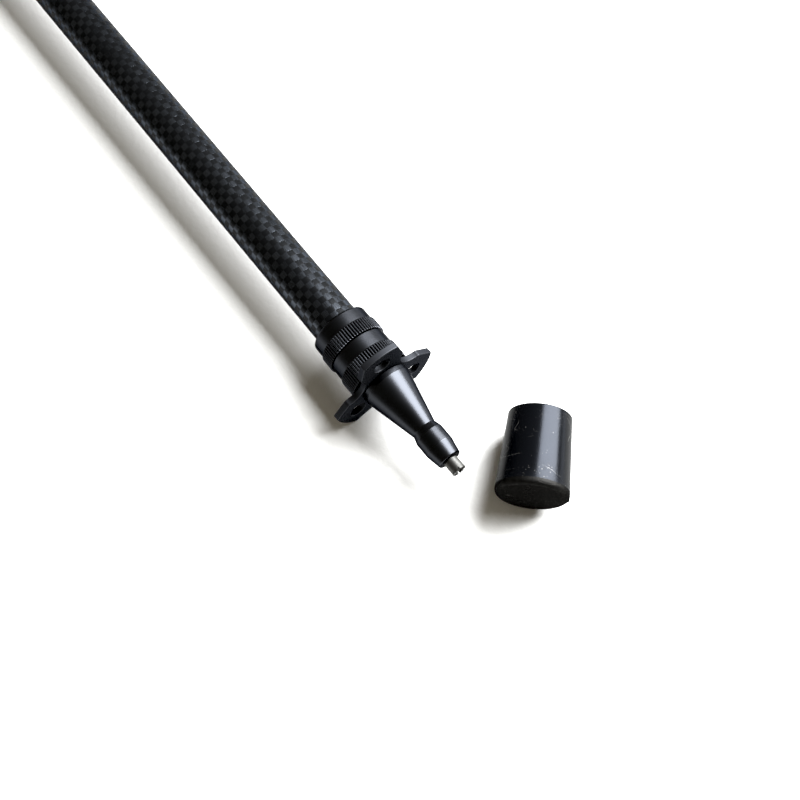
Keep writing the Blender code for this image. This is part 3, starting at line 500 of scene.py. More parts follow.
def carbon_finish(name, radius, marks=False):
    """Plain-weave carbon under clear resin. Tows that run along the tube catch the light: that
    sheen is painted into the base colour, lightest on each tow's crown, and the tows that run
    across keep a darker colour as painted shade.
    """
    colours = bpy.context.scene.pole_colours
    weave = bpy.context.scene.pole_weave
    finish = Finish(name, POLE_PLACE, Specular_Tint=(0.3, 0.3, 0.3, 1))
    around = 2 * round(math.pi * radius / weave.tow)
    u = finish.turn() * (around / WHOLE_TURN)
    v = finish.x / weave.tow
    in_u = u.maths("FRACT")
    in_v = v.maths("FRACT")
    tow_u = u.maths("FLOOR")
    tow_v = v.maths("FLOOR")
    along = ((tow_u + tow_v) * 0.5).maths("FRACT") * 2
    swell_u = (in_u * math.pi).maths("SINE")
    swell_v = (in_v * math.pi).maths("SINE")
    along_height = swell_u**0.3 * (0.6 + 0.4 * swell_v)
    across_height = swell_v**0.3 * (0.6 + 0.4 * swell_u)
    height = along * along_height + (1 - along) * across_height
    lines_along = finish.noise(1, 2, 0.6, finish.vector(v * 0.8, u * 34, 3.7))
    lines_across = finish.noise(1, 2, 0.6, finish.vector(v * 34, u * 0.8, 9.1))
    lines = along * lines_along + (1 - along) * lines_across
    tone = finish.noise(1, 0, 0.5, finish.vector(tow_u * 0.71, tow_v * 0.37, 1.3))
    # Painted sheen: tows that run along the tube get the lighter colour, most on their crowns, as a
    # painted highlight; the random tone from tow to tow and the fine lines are the carbon's own.
    sheen_and_tone = 0.62 + 0.9 * (lines - 0.5) + 0.8 * (tone - 0.5)
    painted_sheen = along * sheen_and_tone * (0.6 + 0.4 * swell_u**0.3)
    base = finish.mixed(
        painted_sheen.maths("MAXIMUM", 0.0), colours.fibre_painted_shade, colours.fibre_painted_sheen
    )
    metallic = 0.8 + 0.15 * along
    rough = 0.30 - 0.02 * along + 0.14 * (lines - 0.5)
    if marks:
        place = (finish.x / weave.mark_pitch).maths("FRACT")
        line = 1 - finish.smooth_step(
            (place - 0.5).maths("ABSOLUTE"),
            0.4 * weave.mark_width / weave.mark_pitch,
            0.55 * weave.mark_width / weave.mark_pitch,
        )
        facing = finish.smooth_step((finish.turn() - 0.9).maths("ABSOLUTE"), 0.45, 0.46)
        mark = line * (1 - facing)
        base = finish.mixed(mark, base, colours.mark)
        metallic = metallic * (1 - mark)
    return finish.feed(
        Base_Color=base,
        Metallic=metallic,
        Roughness=rough,
        Normal=finish.bump(
            lines, weave.fibre_relief, 1.0, finish.bump(height, weave.relief)
        ),
    )


def steel_finish(name, colour_name, roughness, place=POLE_PLACE):
    """Bare or plated steel with fine turning lines, darker in random patches."""
    colours = bpy.context.scene.pole_colours
    finish = Finish(name, place, Metallic=1.0)
    across = finish.x + finish.radius()
    lines = finish.noise(1.0, 3, 0.7, finish.vector(across * 8000, finish.turn() * 0.5, 0.0))
    cloud = finish.noise(600, 4, 0.6)
    base = getattr(colours, colour_name)
    dull = tuple(0.55 * channel for channel in base)
    shade = finish.mixed(finish.smooth_step(cloud, 0.40, 0.75) * 0.55, base, dull)
    rough = roughness + 0.16 * (cloud - 0.5) + 0.12 * (lines - 0.5)
    return finish.feed(Base_Color=shade, Roughness=rough, Normal=finish.bump(lines, 0.000004))


def rubber_finish(name, place):
    """Glossy moulded rubber with hairline scratches, dust and a rougher band at its base. The
    closed end, out over its rounded edge, and the pits are painted darker as shade.
    """
    colours = bpy.context.scene.pole_colours
    boot = bpy.context.scene.pole_boot
    finish = Finish(name, place, Specular_Tint=(0.2, 0.2, 0.2, 1))
    near_base = finish.smooth_step(finish.x, 0.70 * boot.depth, 0.98 * boot.depth)
    # The closed end is matt and rough of its own; the same mask also paints it darker as shade,
    # reaching back over its rounded edge.
    matt_end_and_painted_shade = finish.smooth_step(
        finish.x, boot.depth - 1.6 * boot.edge, boot.depth - 1.4 * boot.edge
    )
    dots = specks(finish, 900, 0.22)
    # Pits: real small hollows in the bump, with painted shade in their colour.
    pits_and_painted_shade = specks(finish, 1100, 0.46, 4.0) * (0.10 + 0.90 * near_base)
    hair = scratches(finish, 75, 0.0028, (0.2, 0.5, 1.1), 0.47)
    cross_hair = scratches(finish, 110, 0.0024, (1.2, 0.1, -0.7), 0.44)
    dust = dots * 0.25 + hair * 0.45 + cross_hair * 0.35 + finish.noise(45, 4) * 0.006
    grain = finish.noise(1400, 4, 0.65)
    swirl = finish.noise(1.0, 3, 0.6, finish.vector(finish.radius() * 900, finish.turn() * 6, 0.0))
    # Painted shade: the closed end and the pits take the darker colour.
    matt = (matt_end_and_painted_shade + pits_and_painted_shade * 1.5).maths("MINIMUM", 1.0)
    rubber = finish.mixed(matt, colours.rubber, colours.rubber_painted_shade)
    shade = finish.mixed(
        (dust * (1 - 0.6 * matt_end_and_painted_shade) + matt_end_and_painted_shade * 0.14 * grain * swirl).maths("MINIMUM", 1.0),
        rubber,
        colours.dust,
    )
    cloud = finish.noise(110, 4, 0.6)
    rough = 0.18 + 0.08 * cloud + 0.08 * near_base + 0.26 * matt_end_and_painted_shade + 0.2 * dust
    height = grain * (0.10 + 0.35 * near_base + 0.8 * matt_end_and_painted_shade) - pits_and_painted_shade * 1.0 - hair * 0.5
    wavy = finish.bump(finish.noise(130, 1), 0.00003)
    return finish.feed(
        Base_Color=shade,
        Metallic=(0.75 + 0.22 * matt_end_and_painted_shade) * (1 - dust.maths("MINIMUM", 1.0)),
        Roughness=rough,
        Normal=finish.bump(height, 0.000045, 1.0, wavy),
    )


def nylon_finish(name, place=POLE_PLACE):
    """Moulded nylon with a fine spark-eroded grain."""
    colours = bpy.context.scene.pole_colours
    finish = Finish(name, place)
    grain = finish.noise(2600, 3, 0.6)
    cloud = finish.noise(120, 3)
    worn = finish.edge() * finish.noise(500, 2)
    shade = finish.mixed(
        0.06 * cloud + 0.18 * worn, colours.nylon, (0.30, 0.30, 0.31)
    )
    return finish.feed(
        Base_Color=shade,
        Roughness=0.46 + 0.14 * grain,
        Normal=finish.bump(grain, 0.00002),
    )


def spirit_finish(name, pale=0.18):
    """Clear coloured spirit, or the paler bubble in it."""
    colours = bpy.context.scene.pole_colours
    finish = Finish(name, POLE_PLACE, Coat_Weight=1.0, Coat_Roughness=0.02)
    cloud = finish.noise(220, 2)
    shade = finish.mixed(
        pale + 0.25 * cloud, colours.spirit, (0.85, 0.95, 0.45)
    )
    return finish.feed(Base_Color=shade, Roughness=0.10 + 0.08 * cloud)


def glass_finish(name):
    """Clear acrylic for the vial's dome."""
    finish = Finish(name, POLE_PLACE, Transmission_Weight=1.0, IOR=1.49)
    cloud = finish.noise(400, 2)
    return finish.feed(Roughness=0.015 + 0.02 * cloud)


# ---------------------------------------------------------------- outlines


def rounded(corners, edge=0.0003, steps=4):
    """An outline of (x, radius, sharpness) points with each corner rounded.

    A corner is (x, radius) or (x, radius, its own rounding). The arcs are marked 1, and a point
    close to each end of an arc is marked 0, so that wear stays on the edge.
    """
    outline = []
    count = len(corners)
    for index, corner in enumerate(corners):
        here = Vector(corner[:2])
        before = Vector(corners[index - 1][:2]) - here
        after = Vector(corners[(index + 1) % count][:2]) - here
        fillet = corner[2] if len(corner) > 2 else edge
        if fillet == 0 or here.y <= 0:
            outline.append((here.x, here.y, 0.0))
            continue
        half = before.angle(after) / 2
        if half > math.radians(89):
            outline.append((here.x, here.y, 0.0))
            continue
        room = 0.42 * min(before.length, after.length)
        back = min(fillet / math.tan(half), room)
        radius = back * math.tan(half)
        centre = here + (before.normalized() + after.normalized()).normalized() * (
            radius / math.sin(half)
        )
        first = here + before.normalized() * back - centre
        last = here + after.normalized() * back - centre
        guard = min(back + 0.00018, 1.1 * room)
        outline.append((*(here + before.normalized() * guard), 0.0))
        for step in range(steps + 1):
            at = centre + radius * first.normalized().slerp(last.normalized(), step / steps)
            outline.append((*at, 1.0))
        outline.append((*(here + after.normalized() * guard), 0.0))
    return outline


def arc(centre, radius, start, sweep, steps):
    """Points of an arc in (y, z), with both its ends, or of a whole circle."""
    count = steps if abs(sweep) >= WHOLE_TURN else steps + 1
    return [
        (
            centre[0] + radius * math.cos(start + sweep * step / steps),
            centre[1] + radius * math.sin(start + sweep * step / steps),
        )
        for step in range(count)
    ]


def circle(centre, radius, steps=48):
    return arc(centre, radius, 0.0, WHOLE_TURN, steps)


def rounded_corner(before, corner, after, radius, steps=6):
    """Points of an arc that rounds one corner of a flat outline."""
    corner = Vector(corner)
    into = (Vector(before) - corner).normalized()
    out = (Vector(after) - corner).normalized()
    half = into.angle(out) / 2
    centre = corner + (into + out).normalized() * radius / math.sin(half)
    first = corner + into * radius / math.tan(half) - centre
    last = corner + out * radius / math.tan(half) - centre
    return [
        tuple(centre + radius * first.normalized().slerp(last.normalized(), step / steps))
        for step in range(steps + 1)
    ]


def area_of(loop):
    return sum(a[0] * b[1] - b[0] * a[1] for a, b in zip(loop, loop[1:] + loop[:1])) / 2


def shrunk(loop, distance):
    """The loop moved to the left of its direction by a distance."""
    moved = []
    count = len(loop)
    for index, point in enumerate(loop):
        here = Vector(point)
        into = (here - Vector(loop[index - 1])).normalized()
        out = (Vector(loop[(index + 1) % count]) - here).normalized()
        left_in = Vector((-into.y, into.x))
        left_out = Vector((-out.y, out.x))
        way = left_in + left_out
        way = way.normalized() if way.length > 0 else left_in
        moved.append(tuple(here + way * (distance / max(way.dot(left_in), 0.35))))
    return moved


# ---------------------------------------------------------------- meshes


def mesh_of(name, bm, sharp=32.0):
    """Welds a mesh, points its faces outwards and shades it smooth between its sharp edges."""
    bmesh.ops.remove_doubles(bm, verts=bm.verts, dist=2e-7)
    bmesh.ops.dissolve_degenerate(bm, edges=bm.edges, dist=2e-7)
    bmesh.ops.recalc_face_normals(bm, faces=bm.faces)
    mesh = bpy.data.meshes.new(name)
    bm.to_mesh(mesh)
    bm.free()
    mesh.shade_smooth()
    mesh.set_sharp_from_angle(angle=math.radians(sharp))
    return mesh


def swept(name, outline, columns=128, sweep=WHOLE_TURN, shape=None):
    """A shell swept about X from (x, radius, sharpness) points, whole or as one sector.

    shape, if given, gets a point's x, radius and share of the sweep, and returns its radius.
    """
    bm = bmesh.new()
    sharpness = bm.verts.layers.float.new(EDGE_ATTRIBUTE)
    whole = sweep >= WHOLE_TURN
    rows = []
    for x, radius, sharp in outline:
        row = []
        for column in range(1 if radius <= 0 else columns + (0 if whole else 1)):
            share_of_sweep = column / columns
            at = sweep * share_of_sweep
            reach = shape(x, radius, share_of_sweep) if shape else radius
            vertex = bm.verts.new((x, reach * math.cos(at), reach * math.sin(at)))
            vertex[sharpness] = sharp
            row.append(vertex)
        rows.append(row)
    for first, second in zip(rows, rows[1:] + rows[:1]):
        if len(first) == 1 and len(second) == 1:
            continue
        for column in range(columns):
            beside = (column + 1) % columns if whole else column + 1
            corners = [
                first[0 if len(first) == 1 else column],
                first[0 if len(first) == 1 else beside],
                second[0 if len(second) == 1 else beside],
                second[0 if len(second) == 1 else column],
            ]
            bm.faces.new(list(dict.fromkeys(corners)))
    return mesh_of(name, bm)


def rod(name, half_length, radius, columns=32):
    """A plain cylinder about X with its middle at the origin, to cut a hole with."""
    outline = [
        (-half_length, 0, 0),
        (-half_length, radius, 0),
        (half_length, radius, 0),
        (half_length, 0, 0),
    ]
    return swept(name, outline, columns)


def slab(name, outline, start, end, holes=(), edge=0.0003, steps=3):
    """A flat piece with a (y, z) outline and holes, from one X to another, its edges rounded."""
    bm = bmesh.new()
    sharpness = bm.verts.layers.float.new(EDGE_ATTRIBUTE)
    guard = 0.6 * edge
    quarter = math.pi / 2
    rim = [(start, edge + guard, 0.0)]
    for step in range(steps + 1):
        at = quarter * step / steps
        rim.append((start + edge - edge * math.cos(at), edge - edge * math.sin(at), 1.0))
    rim.append((start + edge + guard, 0.0, 0.0))
    levels = rim + [(start + end - x, inset, sharp) for x, inset, sharp in reversed(rim)]
    caps = {0: [], len(levels) - 1: []}
    for number, loop in enumerate((outline, *holes)):
        loop = list(loop)
        if (area_of(loop) > 0) != (number == 0):
            loop.reverse()
        rings = []
        for x, inset, sharp in levels:
            ring = [bm.verts.new((x, y, z)) for y, z in shrunk(loop, inset)]
            for vertex in ring:
                vertex[sharpness] = sharp
            rings.append(ring)
        count = len(loop)
        for first, second in zip(rings, rings[1:]):
            for index in range(count):
                beside = (index + 1) % count
                bm.faces.new((first[index], first[beside], second[beside], second[index]))
        for level, edges in caps.items():
            ring = rings[level]
            edges += [
                bm.edges.get((ring[index], ring[(index + 1) % count])) for index in range(count)
            ]
    for edges in caps.values():
        bmesh.ops.triangle_fill(bm, use_beauty=True, edges=edges, normal=(1, 0, 0))
    return mesh_of(name, bm)


def show(name, mesh):
    """Puts a mesh into the scene as an object at the origin."""
    piece = bpy.data.objects.new(name, mesh)
    bpy.context.scene.collection.objects.link(piece)
    return piece


def settled(piece):
    """Replaces a piece's mesh by what its modifiers make of it, and removes them."""
    graph = bpy.context.evaluated_depsgraph_get()
    mesh = bpy.data.meshes.new_from_object(piece.evaluated_get(graph))
    piece.modifiers.clear()
    piece.data = mesh
    return piece


def combined(piece, other, operation):
    """Cuts the other mesh from a piece, or joins it on."""
    tool = show(f"{piece.name}_tool", other)
    boolean = piece.modifiers.new(operation, "BOOLEAN")
    boolean.solver = "EXACT"
    boolean.operation = operation
    boolean.object = tool
    settled(piece)
    bpy.data.objects.remove(tool)
    return piece


def tidied(piece, sharp=32.0):
    """Welds a piece's mesh again after modifiers, and shades it."""
    bm = bmesh.new()
    bm.from_mesh(piece.data)
    materials = list(piece.data.materials)
    piece.data = mesh_of(piece.name, bm, sharp)
    for material in materials:
        piece.data.materials.append(material)
    return piece


def placed(piece, place):
    piece.data.transform(place)
    return piece


def painted(piece, material):
    piece.data.materials.clear()
    piece.data.materials.append(material)
    return piece


def belongs(piece, body, slot, *nodes):
    """Ties a finished piece to its body and hides the nodes that it stands for. Its slot is not
    used.
    """
    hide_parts(*nodes)
    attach(piece, body)


# ---------------------------------------------------------------- geometry node trees


def socket_id(tree, name):
    return next(
        item.identifier
        for item in tree.interface.items_tree
        if item.item_type == "SOCKET" and item.in_out == "INPUT" and item.name == name
    )


def new_tree(name, inputs):
    """A geometry node tree with named inputs: its graph and the values of its inputs."""
    tree = bpy.data.node_groups.new(name, "GeometryNodeTree")
    tree.interface.new_socket("Geometry", in_out="INPUT", socket_type="NodeSocketGeometry")
    for label, (kind, default) in inputs.items():
        made = tree.interface.new_socket(label, in_out="INPUT", socket_type=kind)
        if default is not None:
            made.default_value = default
    tree.interface.new_socket("Geometry", in_out="OUTPUT", socket_type="NodeSocketGeometry")
    graph = Graph(tree)
    return graph, graph.node("NodeGroupInput")


def close_tree(graph, geometry, material):
    painted_geometry = graph.node(
        "GeometryNodeSetMaterial", {}, {"Geometry": geometry, "Material": material}
    )
    graph.node("NodeGroupOutput", {}, {"Geometry": painted_geometry})
    return graph.tree


def round_array_tree():
    """Repeats one sector round the X axis and welds the sectors together."""
    graph, given = new_tree(
        "Round Array",
        {
            "Count": ("NodeSocketInt", 12),
            "Weld": ("NodeSocketFloat", 0.000001),
            "Material": ("NodeSocketMaterial", None),
        },
    )
    count = given.of("Count")
    index = graph.node("GeometryNodeInputIndex")
    turn = graph.vector(index * WHOLE_TURN / count)
    points = graph.node("GeometryNodePoints", {}, {"Count": count})
    copies = graph.node(
        "GeometryNodeInstanceOnPoints",
        {},
        {
            "Points": points,
            "Instance": given.of("Geometry"),
            "Rotation": graph.node("FunctionNodeEulerToRotation", {}, {0: turn}),
        },
    )
    solid = graph.node("GeometryNodeRealizeInstances", {}, {"Geometry": copies})
    welded = graph.node(
        "GeometryNodeMergeByDistance", {}, {"Geometry": solid, "Distance": given.of("Weld")}
    )
    return close_tree(graph, welded, given.of("Material"))


def thread_tree():
    """Cuts a screw thread into the outside of a piece turned about the X axis."""
    graph, given = new_tree(
        "Cut Thread",
        {
            "Start": ("NodeSocketFloat", 0.0),
            "End": ("NodeSocketFloat", 0.02),
            "Crest": ("NodeSocketFloat", 0.008),
            "Pitch": ("NodeSocketFloat", 0.002),
            "Depth": ("NodeSocketFloat", 0.001),
            "Material": ("NodeSocketMaterial", None),
        },
    )
    place = graph.node("GeometryNodeInputPosition")
    x = graph.node("ShaderNodeSeparateXYZ", {}, {0: place}, "X")
    y = x.of("Y")
    z = x.of("Z")
    radius = (y * y + z * z).maths("SQRT")
    turn = z.maths("ARCTAN2", y) / WHOLE_TURN
    phase = ((x - given.of("Start")) / given.of("Pitch") - turn).maths("FRACT")
    wave = (phase * 2 - 1).maths("ABSOLUTE")
    groove = graph.smooth_step(wave, 0.08, 0.86)
    fade = given.of("Pitch") * 0.6
    lead_in = graph.smooth_step(x, given.of("Start") - fade, given.of("Start") + fade)
    run_out = graph.smooth_step(x, given.of("End"), given.of("End") + fade)
    outside = radius.maths("GREATER_THAN", given.of("Crest") - given.of("Depth") * 1.6)
    cut = given.of("Depth") * groove * lead_in * (1 - run_out) * outside
    shrink = ((radius - cut) / radius.maths("MAXIMUM", 1e-6)).maths("MAXIMUM", 0.0)
    moved = graph.node(
        "GeometryNodeSetPosition",
        {},
        {
            "Geometry": given.of("Geometry"),
            "Position": graph.vector(x, y * shrink, z * shrink),
        },
    )
    return close_tree(graph, moved, given.of("Material"))


def with_nodes(piece, tree_name, maker, **inputs):
    """Runs a geometry node tree on a piece, and keeps the result as its plain mesh."""
    tree = bpy.data.node_groups.get(tree_name) or maker()
    modifier = piece.modifiers.new(tree_name, "NODES")
    modifier.node_group = tree
    for name, value in inputs.items():
        modifier[socket_id(tree, name)] = value
    return tidied(settled(piece))


def turned_piece(name, corners, material, place=POLE_PLACE, edge=0.0003, columns=128):
    """A plain turned piece."""
    piece = show(name, swept(name, rounded(corners, edge), columns))
    return placed(painted(piece, material), place)


def knurled_piece(name, corners, material, crest, depth, place=POLE_PLACE, edge=0.0003):
    """A turned piece whose largest diameter carries a straight knurl, made from one tooth."""
    knurl = bpy.context.scene.pole_knurl
    teeth = round(WHOLE_TURN * crest / knurl.pitch)
    root = crest - depth

    def tooth(_x, radius, share_of_sweep):
        cut = depth * (1 - math.sin(math.pi * share_of_sweep) ** 0.8)
        return max(radius - cut, min(radius, root))

    sector = swept(name, rounded(corners, edge, 3), 8, WHOLE_TURN / teeth, tooth)
    piece = show(name, sector)
    with_nodes(piece, "Round Array", round_array_tree, Count=teeth, Material=material)
    return placed(painted(piece, material), place)


def threaded_outline(corners, radius, step, edge=0.0003):
    """A rounded outline with close points along a threaded stretch, for the thread to bend."""
    outline = []
    points = rounded(corners, edge)
    for first, second in zip(points, points[1:] + points[:1]):
        outline.append(first)
        level = abs(first[1] - radius) < 1e-7 and abs(second[1] - radius) < 1e-7
        if level and abs(second[0] - first[0]) > step:
            count = int(abs(second[0] - first[0]) / step)
            outline += [
                (first[0] + (second[0] - first[0]) * number / count, radius, 0.0)
                for number in range(1, count)
            ]
    return outline


# ---------------------------------------------------------------- pieces


class PieceOperator:
    """What the operators share: how they may be run."""

    bl_options = {"REGISTER", "UNDO"}


class POLE_OT_tubes(PieceOperator, bpy.types.Operator):
    """Make the two carbon tubes"""

    bl_idname = "pole.tubes"
    bl_label = "Carbon Tubes"

    def execute(self, context):
        wall = context.scene.pole_weave.wall
        for node, name, body in (
            ("lower_tube", "woven_lower_tube", "lower_section"),
            ("inner_tube", "woven_inner_tube", "upper_section"),
        ):
            start, end = span(node)
            radius = radius_of(node)
            corners = [
                (start, radius - wall),
                (start, radius),
                (end, radius),
                (end, radius - wall),
            ]
            material = carbon_finish(f"{name}_carbon", radius, marks=node == "inner_tube")
            piece = turned_piece(name, corners, material, edge=0.0002, columns=160)
            belongs(piece, body, "carbon", node)
        return {"FINISHED"}


class POLE_OT_foot_collar(PieceOperator, bpy.types.Operator):
    """Make the collar at the lower tube's foot: a rounded rim, a knurled band and a neck"""

    bl_idname = "pole.foot_collar"
    bl_label = "Foot Collar"

    def execute(self, context):
        knurl = context.scene.pole_knurl
        gap = context.scene.pole_upper.gap
        start, end = span("foot_collar")
        shoulder = span("lock_ring")[0] - gap
        tube_foot = span("lower_tube")[1] + gap
        crest = radius_of("foot_collar")
        smooth = crest - knurl.proud
        socket = TUBE_RADIUS + gap
        neck = socket - 3 * gap
        stud = radius_of("point_stud") + gap
        band = start + knurl.collar_rim
        corners = [
            (start, socket, 0.0006),
            (start, smooth, 0.0011),
            (band, smooth, 0.0002),
            (band, crest, 0.0005),
            (shoulder, crest, 0.0004),
            (shoulder, neck, 0.0),
            (end, neck),
            (end, stud),
            (tube_foot, stud),
            (tube_foot, socket),
        ]
        material = anodised_finish("collar_anodised")
        piece = knurled_piece("knurled_collar", corners, material, crest, knurl.depth)
        belongs(piece, "lower_section", "black_anodised", "foot_collar")
        return {"FINISHED"}


class POLE_OT_lock_ring(PieceOperator, bpy.types.Operator):
    """Make the ring that jams the foot plate: a smooth waist and a knurled band"""

    bl_idname = "pole.lock_ring"
    bl_label = "Lock Ring"

    def execute(self, context):
        knurl = context.scene.pole_knurl
        gap = context.scene.pole_upper.gap
        start, end = span("lock_ring")
        crest = radius_of("lock_ring")
        smooth = crest - knurl.proud
        bore = TUBE_RADIUS - 2 * gap / 3
        band = start + knurl.ring_groove
        corners = [
            (start, bore),
            (start, smooth, 0.0003),
            (band, smooth, 0.0002),
            (band, crest, 0.0005),
            (end, crest, 0.0005),
            (end, bore),
        ]
        material = anodised_finish("lock_ring_anodised")
        piece = knurled_piece("knurled_lock_ring", corners, material, crest, knurl.depth)
        belongs(piece, "lock_ring", "black_anodised", "lock_ring")
        return {"FINISHED"}


def valley(shoulder, plate, steps=18):
    """The scallop between two ears: an arc through both shoulders and the valley's floor."""
    bisector = math.pi / 2 - math.pi / plate.ears
    along = Vector((math.cos(bisector), math.sin(bisector)))
    half_chord = abs(shoulder.x * along.y - shoulder.y * along.x)
    depth = shoulder.dot(along) - plate.valley
    radius = (half_chord**2 + depth**2) / (2 * depth)
    centre = along * (plate.valley + radius)
    first = shoulder - centre
    sweep = 2 * (math.pi - math.acos(max(-1.0, min(1.0, first.normalized().dot(along)))))
    return [
        tuple(centre + Matrix.Rotation(sweep * step / steps, 2) @ first)
        for step in range(1, steps)
    ]


def plate_outline(plate):
    """The foot plate's edge, clockwise, starting at the ear that points up."""
    end = Vector((plate.end_half, math.sqrt(plate.disc**2 - plate.end_half**2)))
    shoulder = Vector((plate.shoulder_half, plate.shoulder_reach))
    half = math.asin(plate.end_half / plate.disc)
    crown = arc((0, 0), plate.disc, math.pi / 2 + half, -2 * half, 20)[1:-1]
    far_end = (-end.x, end.y)
    far_shoulder = (-shoulder.x, shoulder.y)
    ear = [
        *rounded_corner((-end.x, plate.valley), far_shoulder, far_end, 2 * plate.corner),
        *rounded_corner(far_shoulder, far_end, crown[0], plate.corner),
        *crown[1:-1],
        *rounded_corner(crown[-1], tuple(end), tuple(shoulder), plate.corner),
        *rounded_corner(tuple(end), tuple(shoulder), (end.x, plate.valley), 2 * plate.corner),
        *valley(shoulder, plate)[1:-1],
    ]
    outline = []
    for number in range(plate.ears):
        turn = Matrix.Rotation(-WHOLE_TURN * number / plate.ears, 2)
        outline += [tuple(turn @ Vector(point)) for point in ear]
    return outline


class POLE_OT_foot_plate(PieceOperator, bpy.types.Operator):
    """Make the flat plate with three pierced ears"""

    bl_idname = "pole.foot_plate"
    bl_label = "Foot Plate"

    def execute(self, context):
        plate = context.scene.pole_plate
        holes = [circle((0, 0), plate.centre_hole)]
        for number in range(plate.ears):
            turn = math.pi / 2 + WHOLE_TURN * number / plate.ears
            centre = (plate.hole_reach * math.cos(turn), plate.hole_reach * math.sin(turn))
            holes.append(circle(centre, plate.hole))
        start, end = span("eared_plate")
        mesh = slab("eared_foot_plate", plate_outline(plate), start, end, holes, plate.edge)
        piece = placed(show("eared_foot_plate", mesh), POLE_PLACE)
        painted(piece, anodised_finish("plate_anodised", turned_lines=False, roughness=0.46))
        belongs(piece, "foot_plate", "black_anodised", "eared_plate")
        return {"FINISHED"}


class POLE_OT_point(PieceOperator, bpy.types.Operator):
    """Make the turned point: base, long cone, waist, bulb and nose"""

    bl_idname = "pole.point"
    bl_label = "Turned Point"

    def execute(self, context):
        point = context.scene.pole_point
        gap = context.scene.pole_upper.gap
        start, end = span("point_body")
        base = radius_of("point_body")
        stud_floor = span("point_stud")[1] + gap
        tip_floor = span("tip_insert")[0] - gap
        waist = PLATE_FRONT + point.waist_at
        bulb = waist + point.flare
        corners = [
            (start, point.stud_hole),
            (start, base, 0.0004),
            (start + point.base_length, base, 0.0003),
            (waist, point.waist, 0.0003),
            (bulb, point.bulb, 0.0006),
            (bulb + point.bulb_length, point.bulb, 0.0008),
            (end, point.nose, 0.0007),
            (end, point.tip_hole, 0.0002),
            (tip_floor, point.tip_hole, 0.0),
            (tip_floor, 0),
            (stud_floor, 0),
            (stud_floor, point.stud_hole, 0.0),
        ]
        material = anodised_finish("point_anodised", roughness=0.24)
        piece = turned_piece("turned_point", corners, material, columns=160)
        belongs(piece, "lower_section", "black_anodised", "point_body")
        return {"FINISHED"}


class POLE_OT_tip(PieceOperator, bpy.types.Operator):
    """Make the hard tip with its notched crown"""

    bl_idname = "pole.tip"
    bl_label = "Hard Tip"

    def execute(self, context):
        point = context.scene.pole_point
        gap = context.scene.pole_upper.gap
        start, end = span("tip_insert")
        head = span("point_body")[1] + gap
        radius = radius_of("tip_insert")
        floor = end - point.crown_depth
        inner = radius - point.crown_wall
        corners = [
            (start, 0),
            (start, point.tip_shank, 0.0003),
            (head, point.tip_shank, 0.0),
            (head, radius, 0.0002),
            (end, radius, 0.00025),
            (end, inner, 0.00025),
            (floor, inner, 0.0003),
            (floor, point.crown_nub, 0.0003),
            (end - 0.3 * point.crown_depth, 0.6 * point.crown_nub, 0.0004),
            (end - 0.15 * point.crown_depth, 0),
        ]
        piece = show("crowned_tip", swept("crowned_tip", rounded(corners), 120))
        material = steel_finish("tip_steel", "steel", 0.48)
        low = 0.5 * (inner + point.crown_nub)
        notches = self.notches(point, floor, end, low, 2 * radius, material)
        combined(piece, notches, "DIFFERENCE")
        placed(painted(tidied(piece, 26.0), material), POLE_PLACE)
        belongs(piece, "lower_section", "hard_steel", "tip_insert")
        return {"FINISHED"}

    def notches(self, point, floor, end, low, high, material):
        """A ring of wedges that cut the crown, each from one radius to another."""
        flank = 0.5 * point.notch
        wedge = [
            (-0.35 * flank, floor),
            (0.35 * flank, floor),
            (1.5 * flank, end + point.crown_depth),
            (-1.5 * flank, end + point.crown_depth),
        ]
        notch = bmesh.new()
        for reach in (low, high):
            for side, x in wedge:
                notch.verts.new((x, side, reach))
        notch.verts.ensure_lookup_table()
        for corner in range(4):
            beside = (corner + 1) % 4
            ring = (corner, beside, beside + 4, corner + 4)
            notch.faces.new([notch.verts[index] for index in ring])
        notch.faces.new([notch.verts[index] for index in (0, 1, 2, 3)])
        notch.faces.new([notch.verts[index] for index in (4, 5, 6, 7)])
        cutter = show("notches", mesh_of("notches", notch))
        with_nodes(
            cutter, "Round Array", round_array_tree, Count=point.notches, Material=material
        )
        mesh = cutter.data
        bpy.data.objects.remove(cutter)
        return mesh


def boot_place(mesh, boot):
    """Where the boot lies: its mouth's frame, with X towards the closed end."""
    way = Vector(joint("boot_slide")["axis"])
    heading = Matrix.Rotation(math.atan2(way.y, way.x), 4, "Z")
    slope = Matrix.Rotation(-math.atan2(boot.base - boot.mouth, boot.depth), 4, "Y")
    turn = heading @ slope
    points = [turn @ vertex.co for vertex in mesh.vertices]
    low = Vector(min(point[axis] for point in points) for axis in range(3))
    high = Vector(max(point[axis] for point in points) for axis in range(3))
    offset = middle("rubber_boot") - (low + high) / 2
    offset.z = -low.z
    return Matrix.Translation(offset) @ turn


